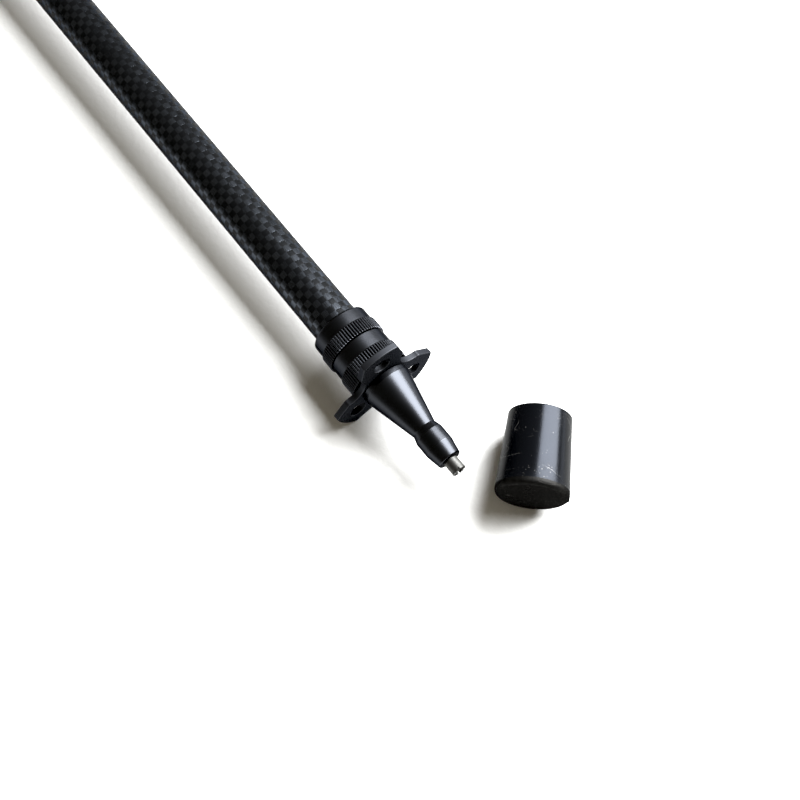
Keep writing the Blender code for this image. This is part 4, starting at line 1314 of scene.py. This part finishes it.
class POLE_OT_boot(PieceOperator, bpy.types.Operator):
    """Make the loose rubber boot and the washer in its bore"""

    bl_idname = "pole.boot"
    bl_label = "Rubber Boot"

    def execute(self, context):
        boot = context.scene.pole_boot
        gap = context.scene.pole_upper.gap
        bore_floor = boot.depth - boot.floor
        place = self.make_boot(boot, bore_floor)
        self.make_washer(boot, bore_floor, place, gap)
        return {"FINISHED"}

    def make_boot(self, boot, bore_floor):
        """Makes the boot and returns the place where it lies."""
        spacing = 0.0015
        nub_length = 0.0009
        nub_turn = 0.07
        mouth_lip = 0.0004
        corners = [
            (0, boot.bore, 0.0008),
            (0, boot.mouth, 0.0005),
            (boot.depth, boot.base, boot.edge),
            (boot.depth, 0),
            (bore_floor, 0),
            (bore_floor, boot.bore, 0.0008),
        ]
        outline = []
        points = rounded(corners, steps=6)
        for first, second in zip(points, points[1:] + points[:1]):
            outline.append(first)
            steps = max(1, int((Vector(second[:2]) - Vector(first[:2])).length / spacing))
            for step in range(1, steps):
                at = Vector(first).lerp(Vector(second), step / steps)
                outline.append((at.x, at.y, 0.0))

        def moulded(x, radius, share_of_sweep):
            """Slightly out of round, with a nub of flash on the closed end's edge."""
            if radius <= boot.bore or x <= mouth_lip:
                return radius
            turn = share_of_sweep * WHOLE_TURN
            out_of_round = 0.00006 * math.sin(2 * turn + 0.7) + 0.00003 * math.sin(5 * turn)
            from_edge = (boot.depth - 0.6 * boot.edge - x) / nub_length
            from_nub = math.atan2(math.sin(turn + 0.15), math.cos(turn + 0.15)) / nub_turn
            nub = 3.0 * boot.flash * math.exp(-(from_edge**2) - from_nub**2)
            lip = boot.flash * 0.5 * math.exp(-(from_edge**2)) * (0.5 + 0.5 * math.sin(3 * turn))
            outer = min(1.0, max(0.0, (radius - boot.bore) / (boot.mouth - boot.bore)))
            return radius + (out_of_round + nub + lip) * outer

        mesh = swept("moulded_boot", outline, 144, shape=moulded)
        place = boot_place(mesh, boot)
        piece = placed(show("moulded_boot", mesh), place)
        painted(piece, rubber_finish("boot_rubber", place))
        belongs(piece, "boot", "rubber", "rubber_boot")
        return place

    def make_washer(self, boot, bore_floor, place, gap):
        hole = 0.003
        thickness = 0.0015
        seat = bore_floor - gap
        face = seat - thickness
        washer = [
            (face, hole, 0.0002),
            (face, boot.bore - gap, 0.0003),
            (seat, boot.bore - gap),
            (seat, hole),
        ]
        material = steel_finish("washer_zinc", "zinc", 0.3, place)
        disc = turned_piece("washer_in_boot", washer, material, place, columns=72)
        belongs(disc, "boot", "zinc_steel", "boot_washer")


def across_pole(x, z):
    """A frame at a place along the pole whose own X axis points along +Y."""
    turn = Matrix.Rotation(math.pi / 2, 4, "Z")
    return Matrix.Translation((x, POLE_AXIS.y, z)) @ turn


class POLE_OT_clamp(PieceOperator, bpy.types.Operator):
    """Make the split clamp at the lower tube's top, and its nylon bush"""

    bl_idname = "pole.clamp"
    bl_label = "Clamp"

    def execute(self, context):
        upper = context.scene.pole_upper
        start = span("clamp_body")[0]
        radius = POLE_AXIS.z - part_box("clamp_body")[0].z
        slit = [
            (-upper.slit / 2, radius / 2),
            (upper.slit / 2, radius / 2),
            (upper.slit / 2, SLIT_REACH),
            (-upper.slit / 2, SLIT_REACH),
        ]
        self.make_body(upper, radius, slit)
        self.make_bush(upper, radius, slit, start - upper.gap)
        return {"FINISHED"}

    def make_body(self, upper, radius, slit):
        start, end = span("clamp_body")
        socket = TUBE_RADIUS + upper.gap
        groove = 0.0004
        corners = [(start, socket), (start, radius, 0.0009)]
        for middle_of_groove in (end - 0.25 * upper.bond, end - 0.45 * upper.bond):
            corners += [
                (middle_of_groove - 2 * groove, radius, 0.0001),
                (middle_of_groove - groove, radius - groove, 0.0002),
                (middle_of_groove + groove, radius - groove, 0.0002),
                (middle_of_groove + 2 * groove, radius, 0.0001),
            ]
        corners[2:] = sorted(corners[2:])
        corners += [(end, radius, 0.0009), (end, socket)]
        piece = show("split_clamp", swept("split_clamp", rounded(corners), 128))
        half = upper.ear_half
        top = radius + upper.ear_rise
        root = 0.5 * (socket + radius)
        foot = math.sqrt(root**2 - half**2)
        turn = math.asin(half / root)
        corner = 0.0016
        ears = [
            (half, foot),
            *rounded_corner((half, foot), (half, top), (-half, top), corner),
            *rounded_corner((half, top), (-half, top), (-half, foot), corner),
            (-half, foot),
            *arc((0, 0), root, math.pi / 2 + turn, -2 * turn, 16)[1:-1],
        ]
        ear_start = start + corner / 2
        block = slab("ears", ears, ear_start, start + upper.ear_length, edge=0.0005)
        combined(piece, block, "UNION")
        slit_end = end - upper.bond
        cut = slab("slit", slit, start - upper.slit, slit_end, edge=0.0001)
        combined(piece, cut, "DIFFERENCE")
        reach = (SLIT_REACH - radius / 2) / 2
        relief = rod("relief", reach, upper.slit * 0.8)
        upright = Matrix.Rotation(-math.pi / 2, 4, "Y")
        relief.transform(Matrix.Translation((slit_end, 0, radius / 2 + reach)) @ upright)
        combined(piece, relief, "DIFFERENCE")
        bolt = middle("thumb_nut")
        hole = rod("hole", 2 * half, upper.bolt + upper.gap, 40)
        hole.transform(POLE_PLACE.inverted() @ across_pole(bolt.x, bolt.z))
        combined(piece, hole, "DIFFERENCE")
        placed(painted(tidied(piece, 28.0), anodised_finish("clamp_anodised")), POLE_PLACE)
        belongs(piece, "lower_section", "black_anodised", "clamp_body")

    def make_bush(self, upper, radius, slit, flange):
        """The bush between the tubes. Its flange fills the clamp's mouth."""
        bush_start, bush_end = span("clamp_bush")
        inner = radius_of("inner_tube") + upper.gap
        bush_corners = [
            (bush_start, inner),
            (bush_start, radius - upper.gap, 0.0008),
            (flange, radius - upper.gap, 0.0002),
            (flange, TUBE_RADIUS, 0.0002),
            (bush_end, TUBE_RADIUS, 0.0005),
            (bush_end, inner),
        ]
        bush = show("nylon_bush", swept("nylon_bush", rounded(bush_corners), 112))
        gap_mesh = slab("gap", slit, bush_start - upper.slit, bush_end + upper.slit, edge=0.0001)
        combined(bush, gap_mesh, "DIFFERENCE")
        placed(painted(tidied(bush), nylon_finish("bush_nylon")), POLE_PLACE)
        belongs(bush, "lower_section", "black_nylon", "clamp_bush")


class POLE_OT_clamp_bolt(PieceOperator, bpy.types.Operator):
    """Make the eye bolt across the clamp and its knurled nut"""

    bl_idname = "pole.clamp_bolt"
    bl_label = "Clamp Bolt"

    def execute(self, context):
        upper = context.scene.pole_upper
        pin = middle("lever_pin")
        place = across_pole(pin.x, pin.z)
        self.make_bolt(upper, pin, place)
        self.make_nut(upper, place)
        return {"FINISHED"}

    def make_bolt(self, upper, pin, place):
        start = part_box("clamp_bolt")[0].y - POLE_AXIS.y
        eye_at = pin.y - POLE_AXIS.y
        past_nut = 0.004
        thread_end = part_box("thumb_nut")[1].y - POLE_AXIS.y + past_nut
        corners = [
            (start, 0),
            (start, upper.bolt, 0.0004),
            (eye_at - 0.6 * upper.eye, upper.bolt, 0.0002),
            (eye_at - 0.6 * upper.eye, 0),
        ]
        outline = threaded_outline(corners, upper.bolt, upper.bolt_pitch / 10)
        piece = show("eye_bolt", swept("eye_bolt", outline, 40))
        material = steel_finish("bolt_zinc", "zinc", 0.3, place)
        with_nodes(
            piece,
            "Cut Thread",
            thread_tree,
            Start=start,
            End=thread_end,
            Crest=upper.bolt,
            Pitch=upper.bolt_pitch,
            Depth=0.5 * upper.bolt_pitch,
            Material=material,
        )
        pin_radius = radius_of("lever_pin")
        eye = slab(
            "eye",
            circle((eye_at, 0), upper.eye, 56),
            -upper.eye_width / 2,
            upper.eye_width / 2,
            [circle((eye_at, 0), pin_radius + upper.gap, 40)],
            0.0004,
        )
        eye.transform(Matrix.Rotation(-math.pi / 2, 4, "Z"))
        combined(piece, eye, "UNION")
        placed(painted(tidied(piece), material), place)
        belongs(piece, "lower_section", "zinc_steel", "clamp_bolt")

    def make_nut(self, upper, place):
        low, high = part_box("thumb_nut")
        nut_radius = radius_of("thumb_nut")
        nut_start = low.y - POLE_AXIS.y
        nut_end = high.y - POLE_AXIS.y
        bore = upper.bolt + upper.gap
        nut = [
            (nut_start, bore, 0.0004),
            (nut_start, nut_radius, 0.0006),
            (nut_end, nut_radius, 0.0006),
            (nut_end, bore),
        ]
        nut_finish = anodised_finish("thumb_nut_anodised", place)
        knob = knurled_piece("knurled_thumb_nut", nut, nut_finish, nut_radius, 0.0004, place)
        belongs(knob, "lower_section", "black_anodised", "thumb_nut")


class POLE_OT_lever(PieceOperator, bpy.types.Operator):
    """Make the cam lever, forked round the bolt's eye, and its pin"""

    bl_idname = "pole.lever"
    bl_label = "Lever"

    def execute(self, context):
        upper = context.scene.pole_upper
        pin = middle("lever_pin") - POLE_AXIS
        pin_radius = radius_of("lever_pin")
        self.make_lever(upper, pin, pin_radius)
        self.make_pin(pin, pin_radius)
        return {"FINISHED"}

    def outline(self, upper, pin):
        """The lever from its end: a round cam, an arm round the clamp and grooves to grip."""
        clamp_radius = POLE_AXIS.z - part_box("clamp_body")[0].z
        inner = clamp_radius + upper.stand_off
        outer = inner + upper.lever_thickness
        arm_end = math.radians(-34)
        arm_top = math.radians(50)
        back_top = math.radians(38)
        cam = arc(
            (pin.y - upper.cam_offset, pin.z),
            upper.cam,
            math.radians(-12),
            math.radians(245),
            40,
        )
        inside = arc((0, 0), inner, arm_top, arm_end - arm_top, 28)
        outside = []
        grip_from = math.radians(-4)
        fade = math.radians(4)
        groove_depth = 0.00035
        grooves_round = 72
        steps = 60
        for step in range(steps + 1):
            turn = arm_end + (back_top - arm_end) * step / steps
            in_grip = max(0.0, min(1.0, (grip_from - turn) / fade))
            groove = groove_depth * in_grip * (0.5 - 0.5 * math.cos(turn * grooves_round))
            reach = outer - groove
            outside.append((reach * math.cos(turn), reach * math.sin(turn)))
        return [*cam, *inside, *outside]

    def make_lever(self, upper, pin, pin_radius):
        start, end = span("clamp_lever")
        hole = circle((pin.y, pin.z), pin_radius + upper.gap, 40)
        side = self.outline(upper, pin)
        piece = show("cam_lever", slab("cam_lever", side, start, end, [hole], 0.0004))
        slot = upper.eye_width / 2 + upper.gap
        reach = 2 * upper.cam
        fork = [
            (pin.y - reach, pin.z - upper.eye - upper.gap),
            (pin.y + reach, pin.z - upper.eye - upper.gap),
            (pin.y + reach, pin.z + reach),
            (pin.y - reach, pin.z + reach),
        ]
        x = middle("lever_pin").x
        combined(piece, slab("fork", fork, x - slot, x + slot, edge=0.0001), "DIFFERENCE")
        finish = anodised_finish("lever_anodised", turned_lines=False)
        placed(painted(tidied(piece), finish), POLE_PLACE)
        belongs(piece, "lever", "black_anodised", "clamp_lever")

    def make_pin(self, pin, pin_radius):
        pin_start, pin_end = span("lever_pin")
        dimple = 0.4 * pin_radius
        pin_corners = [
            (pin_start + dimple, 0),
            (pin_start, dimple, 0.0001),
            (pin_start, pin_radius, 0.0003),
            (pin_end, pin_radius, 0.0003),
            (pin_end, dimple, 0.0001),
            (pin_end - dimple, 0),
        ]
        place = Matrix.Translation(POLE_AXIS + Vector((0, pin.y, pin.z)))
        material = steel_finish("pin_steel", "steel", 0.3, place)
        axle = turned_piece("lever_axle", pin_corners, material, place, columns=48)
        belongs(axle, "lever", "hard_steel", "lever_pin")


class POLE_OT_ferrule(PieceOperator, bpy.types.Operator):
    """Make the top ferrule, the threaded prism stud and its lock nut"""

    bl_idname = "pole.ferrule"
    bl_label = "Ferrule and Stud"

    def execute(self, context):
        upper = context.scene.pole_upper
        self.make_ferrule(upper, context.scene.pole_knurl.depth)
        self.make_stud(upper)
        self.make_nut(upper)
        return {"FINISHED"}

    def make_ferrule(self, upper, knurl_depth):
        start, end = span("top_ferrule")
        tube_top = span("inner_tube")[0] - upper.gap
        crest = radius_of("top_ferrule")
        tube = radius_of("inner_tube") + upper.gap
        skirt = tube + upper.skirt
        neck = skirt - upper.neck_depth
        head = start + upper.head_length
        neck_end = head + upper.neck_length
        stud_end = span("prism_stud")[1] + upper.gap
        shank = upper.shank + upper.gap
        corners = [
            (start, shank, 0.0003),
            (start, crest, 0.0007),
            (head, crest, 0.0007),
            (head, neck, 0.0008),
            (neck_end - upper.neck_depth, neck, 0.0008),
            (neck_end, skirt, 0.0004),
            (end, skirt, 0.0009),
            (end, tube, 0.0003),
            (tube_top, tube, 0.0),
            (tube_top, 0),
            (stud_end, 0),
            (stud_end, shank, 0.0),
        ]
        material = anodised_finish("ferrule_anodised")
        piece = knurled_piece("knurled_ferrule", corners, material, crest, knurl_depth)
        belongs(piece, "upper_section", "black_anodised", "top_ferrule")

    def make_stud(self, upper):
        stud_start, stud_end = span("prism_stud")
        radius = radius_of("prism_stud")
        seat = span("top_ferrule")[0] - upper.gap
        relief = 0.0016
        stud_corners = [
            (stud_start, 0),
            (stud_start, radius, 0.0012),
            (seat - relief, radius, 0.0003),
            (seat - relief, radius - upper.stud_depth, 0.0003),
            (seat, radius - upper.stud_depth, 0.0002),
            (seat, upper.shank, 0.0),
            (stud_end, upper.shank, 0.0004),
            (stud_end, 0),
        ]
        outline = threaded_outline(stud_corners, radius, upper.stud_pitch / 14)
        stud = show("threaded_stud", swept("threaded_stud", outline, 80))
        zinc = steel_finish("stud_zinc", "zinc", 0.28)
        with_nodes(
            stud,
            "Cut Thread",
            thread_tree,
            Start=stud_start,
            End=seat,
            Crest=radius,
            Pitch=upper.stud_pitch,
            Depth=upper.stud_depth,
            Material=zinc,
        )
        placed(painted(stud, zinc), POLE_PLACE)
        belongs(stud, "upper_section", "zinc_steel", "prism_stud")

    def make_nut(self, upper):
        nut_start, nut_end = span("lock_nut")
        nut_crest = radius_of("lock_nut")
        bore = radius_of("prism_stud") + upper.gap
        face = nut_crest - 0.0016
        bevel = 0.0005
        nut_corners = [
            (nut_start, bore, 0.0007),
            (nut_start, face, 0.0004),
            (nut_start + bevel, nut_crest, 0.0005),
            (nut_end - bevel, nut_crest, 0.0005),
            (nut_end, face, 0.0004),
            (nut_end, bore, 0.0004),
        ]
        nut_finish = anodised_finish("lock_nut_anodised")
        nut = knurled_piece("knurled_lock_nut", nut_corners, nut_finish, nut_crest, 0.0005)
        belongs(nut, "lock_nut", "black_anodised", "lock_nut")


def recessed(piece, shape, depth):
    """Sinks a drive recess, given as (y, z) outlines, into a screw's head at X = 0."""
    for outline in shape:
        combined(piece, slab("recess", outline, -depth, SLIT_REACH, edge=0.0001), "DIFFERENCE")
    return tidied(piece)


def screw_corners(shank, head, head_length, shank_length, dome):
    """A screw along X with its head's top at zero: domed by a length, or flat."""
    return [
        (0, 0),
        (0, 0.45 * head, 0.0003),
        (-dome, head, 0.0003),
        (-head_length, head, 0.0002),
        (-head_length, shank, 0.0001),
        (-head_length - shank_length, shank, 0.0003),
        (-head_length - shank_length, 0),
    ]


class POLE_OT_level(PieceOperator, bpy.types.Operator):
    """Make the circular level: bracket, cup, vial, and the screws that hold them"""

    bl_idname = "pole.level"
    bl_label = "Circular Level"

    def execute(self, context):
        level = context.scene.pole_level
        place = Matrix.Translation(POLE_AXIS + Vector((0, 0, level.reach)))
        self.make_bracket(level)
        self.make_cup(level, place)
        self.make_vial(level, place)
        self.make_screws(level, place)
        self.make_pinch_screw(level)
        return {"FINISHED"}

    def make_bracket(self, level):
        gap = bpy.context.scene.pole_upper.gap
        start, end = span("level_bracket")
        socket = TUBE_RADIUS + gap
        radius = socket + level.wall
        foot = -POLE_AXIS.z
        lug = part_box("pinch_screw")[1].y - POLE_AXIS.y - gap - level.screw_head
        half = level.slit / 2
        slit_turn = math.asin(half / socket)
        lug_turn = math.asin(lug / radius)
        down = -math.pi / 2
        ring = [
            *arc((0, 0), socket, down - slit_turn, 2 * slit_turn - WHOLE_TURN, 96),
            (half, foot),
            *rounded_corner((half, foot), (lug, foot), (lug, 0), 0.0012),
            *arc((0, 0), radius, down + lug_turn, WHOLE_TURN - 2 * lug_turn, 96),
            *rounded_corner((-lug, 0), (-lug, foot), (-half, foot), 0.0012),
            (-half, foot),
        ]
        piece = show("level_arm", slab("level_arm", ring, start, end, edge=0.0004))
        cup_radius = radius_of("level_cup")
        web = 0.6 * cup_radius
        web_foot = math.sqrt(radius**2 - web**2) - 0.3 * level.wall
        reach = math.asin(web / cup_radius)
        shelf = [
            (-web, web_foot),
            (web, web_foot),
            *arc((0, level.reach), cup_radius, down + reach, WHOLE_TURN - 2 * reach, 72),
        ]
        combined(piece, slab("shelf", shelf, end - level.shelf, end, edge=0.0004), "UNION")
        screw = middle("pinch_screw")
        hole = rod("hole", 2 * lug, level.pinch + gap)
        hole.transform(POLE_PLACE.inverted() @ across_pole(screw.x, screw.z))
        combined(piece, hole, "DIFFERENCE")
        finish = anodised_finish("bracket_anodised", turned_lines=False, roughness=0.42)
        placed(painted(tidied(piece), finish), POLE_PLACE)
        belongs(piece, "lower_section", "black_anodised", "level_bracket")

    def make_cup(self, level, place):
        start, end = span("level_cup")
        radius = radius_of("level_cup")
        bore = radius - level.cup_wall
        floor = end - level.cup_floor
        groove = 0.0003
        cup = [
            (floor, 0),
            (floor, bore, 0.0004),
            (start, bore, 0.0005),
            (start, radius, 0.0007),
            (start + 0.0035, radius, 0.0002),
            (start + 0.0035 + groove, radius - groove, 0.0),
            (start + 0.0047 - groove, radius - groove, 0.0),
            (start + 0.0047, radius, 0.0002),
            (end, radius, 0.0007),
            (end, 0),
        ]
        material = nylon_finish("cup_nylon", place)
        piece = turned_piece("level_cup_shell", cup, material, place, columns=112)
        belongs(piece, "lower_section", "black_nylon", "level_cup")

    def make_vial(self, level, place):
        """The domed vial with its spirit, its bubble and its centring ring."""
        start = span("level_cup")[0]
        vial_start, vial_end = span("level_vial")
        vial = radius_of("level_vial")
        wall = level.glass
        glass = [
            (vial_end, 0),
            (vial_end, vial, 0.0003),
            (start, vial, 0.0004),
            (start - 0.55 * (start - vial_start), 0.75 * vial, 0.0025),
            (vial_start + 0.0001, 0.3 * vial, 0.0025),
            (vial_start, 0),
        ]
        clear = glass_finish("vial_acrylic")
        piece = turned_piece("vial_glass", glass, clear, place, columns=96)
        belongs(piece, "lower_section", "vial", "level_vial")

        depth = vial_start + wall
        surface = start + 0.0004
        spirit = [
            (vial_end - wall, 0),
            (vial_end - wall, vial - wall, 0.0004),
            (surface, vial - wall, 0.0006),
            (depth + 0.0002, 0.35 * vial, 0.003),
            (depth, 0),
        ]
        ring_top = depth - 0.00028
        ring_foot = depth + 0.0012
        ring = [
            (ring_top, level.ring - level.line, 0.0001),
            (ring_top, level.ring + level.line, 0.0001),
            (ring_foot, level.ring + level.line, 0.0001),
            (ring_foot, level.ring - level.line, 0.0001),
        ]
        dome = [
            (depth - 0.0003, 0),
            (depth - 0.0002, 0.6 * level.bubble, 0.001),
            (depth + 0.0003, level.bubble, 0.0003),
            (depth + 0.0006, level.bubble, 0.0002),
            (depth + 0.0006, 0),
        ]
        for name, corners, material, columns in (
            ("vial_spirit", spirit, spirit_finish("vial_liquid"), 96),
            ("vial_bubble", dome, spirit_finish("vial_air", 0.70), 72),
            ("vial_ring", ring, nylon_finish("ring_ink", place), 72),
        ):
            inside = turned_piece(name, corners, material, place, columns=columns)
            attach(inside, "lower_section")

    def make_screws(self, level, place):
        start, head_top = span("level_screw_1")
        head = radius_of("level_screw_1")
        shank = head_top - start - level.screw_head
        corners = screw_corners(level.screw, head, level.screw_head, shank, 0.0007)
        screw = show("level_screws", swept("level_screws", rounded(corners), 40))
        arm = 0.62 * head
        blade = 0.00033
        cross = [
            [(-arm, -blade), (arm, -blade), (arm, blade), (-arm, blade)],
            [(-blade, -arm), (blade, -arm), (blade, arm), (-blade, arm)],
        ]
        recessed(screw, cross, 0.0011)
        placed(screw, Matrix.Translation((head_top, 0, -level.screw_circle)))
        material = steel_finish("level_screw_zinc", "zinc", 0.3, place)
        with_nodes(screw, "Round Array", round_array_tree, Count=3, Material=material)
        placed(painted(screw, material), place)
        nodes = ("level_screw_1", "level_screw_2", "level_screw_3")
        belongs(screw, "lower_section", "zinc_steel", *nodes)

    def make_pinch_screw(self, level):
        low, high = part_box("pinch_screw")
        head = radius_of("pinch_screw")
        shank = high.y - low.y - level.screw_head
        corners = screw_corners(level.pinch, head, level.screw_head, shank, 0.0003)
        pinch = show("pinch_bolt", swept("pinch_bolt", rounded(corners), 48))
        recessed(pinch, [circle((0, 0), 0.0017, 6)], 0.0013)
        screw_middle = middle("pinch_screw")
        turn = Matrix.Rotation(math.pi / 2, 4, "Z")
        place = Matrix.Translation((screw_middle.x, high.y, screw_middle.z)) @ turn
        placed(painted(pinch, steel_finish("pinch_zinc", "zinc", 0.3, place)), place)
        belongs(pinch, "lower_section", "zinc_steel", "pinch_screw")


class POLE_OT_inner_parts(PieceOperator, bpy.types.Operator):
    """Finish the stud inside the point and the plug inside the tube, which keep their shapes"""

    bl_idname = "pole.inner_parts"
    bl_label = "Inner Parts"

    def execute(self, context):
        for node, slot, material in (
            ("point_stud", "zinc_steel", steel_finish("point_stud_zinc", "zinc", 0.3)),
            ("guide_plug", "black_nylon", nylon_finish("plug_nylon")),
        ):
            piece = frame["nodes"][node]
            for material_slot in piece.material_slots:
                material_slot.material = material
        return {"FINISHED"}


# ---------------------------------------------------------------- stage


def looking(azimuth, elevation, roll):
    """The turn of a camera that looks down on the pole from a direction."""
    back = Vector(
        (
            math.sin(azimuth) * math.cos(elevation),
            -math.cos(azimuth) * math.cos(elevation),
            math.sin(elevation),
        )
    )
    return (-back).to_track_quat("-Z", "Y") @ Euler((0, 0, roll)).to_quaternion()


def table_finish():
    """A pale matt table with a very fine grain."""
    colours = bpy.context.scene.pole_colours
    finish = Finish("table_top", Roughness=0.75)
    grain = finish.noise(260, 4, 0.6)
    cloud = finish.noise(3, 3)
    pale = colours.table
    warm = tuple(channel * tint for channel, tint in zip(pale, (0.985, 0.975, 0.955)))
    shade = finish.mixed(0.5 * cloud + 0.2 * grain, pale, warm)
    return finish.feed(Base_Color=shade, Normal=finish.bump(grain, 0.0002))


class POLE_OT_stage(PieceOperator, bpy.types.Operator):
    """Set up the table, the window light and the camera"""

    bl_idname = "pole.stage"
    bl_label = "Stage"

    def execute(self, context):
        scene = context.scene
        settings = scene.pole_stage
        plate = Vector((PLATE_FRONT, POLE_AXIS.y, POLE_AXIS.z))

        bm = bmesh.new()
        bmesh.ops.create_grid(bm, x_segments=8, y_segments=8, size=settings.table_reach)
        table = show("table", mesh_of("table", bm))
        table.location.z = -settings.table_drop
        painted(table, table_finish())

        window = bpy.data.lights.new("window", "AREA")
        window.shape = "RECTANGLE"
        window.size = settings.light_width
        window.size_y = settings.light_height
        window.energy = settings.light_power
        window.color = settings.window_colour
        lamp = bpy.data.objects.new("window", window)
        scene.collection.objects.link(lamp)
        way = Vector(
            (
                math.cos(settings.light_azimuth) * math.cos(settings.light_elevation),
                math.sin(settings.light_azimuth) * math.cos(settings.light_elevation),
                math.sin(settings.light_elevation),
            )
        )
        lamp.location = plate + way * settings.light_distance
        lamp.rotation_mode = "QUATERNION"
        lamp.rotation_quaternion = way.to_track_quat("Z", "Y")

        world = bpy.data.worlds.new("room")
        world.use_nodes = True
        room = world.node_tree.nodes["Background"]
        room.inputs["Color"].default_value = (*settings.room_colour, 1)
        room.inputs["Strength"].default_value = settings.fill
        scene.world = world
        scene.view_settings.view_transform = "Standard"
        scene.view_settings.use_curve_mapping = True
        curves = scene.view_settings.curve_mapping
        curves.black_level = [settings.black_point] * 3
        curves.update()

        camera = bpy.data.cameras.new("camera")
        camera.lens = settings.lens
        camera.sensor_width = 36
        camera.clip_start = 0.01
        eye = bpy.data.objects.new("camera", camera)
        scene.collection.objects.link(eye)
        eye.location = plate + Vector(settings.camera_place)
        eye.rotation_mode = "QUATERNION"
        eye.rotation_quaternion = looking(
            settings.camera_azimuth, settings.camera_elevation, settings.camera_roll
        )
        scene.camera = eye
        return {"FINISHED"}


# ---------------------------------------------------------------- add-on

STEPS = (
    POLE_OT_tubes,
    POLE_OT_foot_collar,
    POLE_OT_lock_ring,
    POLE_OT_foot_plate,
    POLE_OT_point,
    POLE_OT_tip,
    POLE_OT_boot,
    POLE_OT_clamp,
    POLE_OT_clamp_bolt,
    POLE_OT_lever,
    POLE_OT_ferrule,
    POLE_OT_level,
    POLE_OT_inner_parts,
    POLE_OT_stage,
)

SETTINGS = {
    "pole_weave": WeaveSizes,
    "pole_knurl": KnurlSizes,
    "pole_plate": PlateSizes,
    "pole_point": PointSizes,
    "pole_boot": BootSizes,
    "pole_upper": UpperSizes,
    "pole_level": LevelSizes,
    "pole_colours": Colours,
    "pole_stage": StageSettings,
}


class POLE_PT_builder(bpy.types.Panel):
    """Lists the steps that build the pole, and the settings"""

    bl_idname = "POLE_PT_builder"
    bl_label = "Prism Pole"
    bl_space_type = "VIEW_3D"
    bl_region_type = "UI"
    bl_category = "Prism Pole"

    def draw(self, context):
        for step in STEPS:
            self.layout.operator(step.bl_idname)
        for name, group in SETTINGS.items():
            box = self.layout.box()
            box.label(text=group.__doc__)
            for setting in group.__annotations__:
                box.prop(getattr(context.scene, name), setting)


def register():
    for group in SETTINGS.values():
        bpy.utils.register_class(group)
    for step in STEPS:
        bpy.utils.register_class(step)
    bpy.utils.register_class(POLE_PT_builder)
    for name, group in SETTINGS.items():
        setattr(bpy.types.Scene, name, PointerProperty(type=group))


def unregister():
    for name in SETTINGS:
        delattr(bpy.types.Scene, name)
    bpy.utils.unregister_class(POLE_PT_builder)
    for step in reversed(STEPS):
        bpy.utils.unregister_class(step)
    for group in reversed(SETTINGS.values()):
        bpy.utils.unregister_class(group)


def main():
    register()
    for step in STEPS:
        group, name = step.bl_idname.split(".")
        getattr(getattr(bpy.ops, group), name)()


if __name__ == "__main__":
    main()
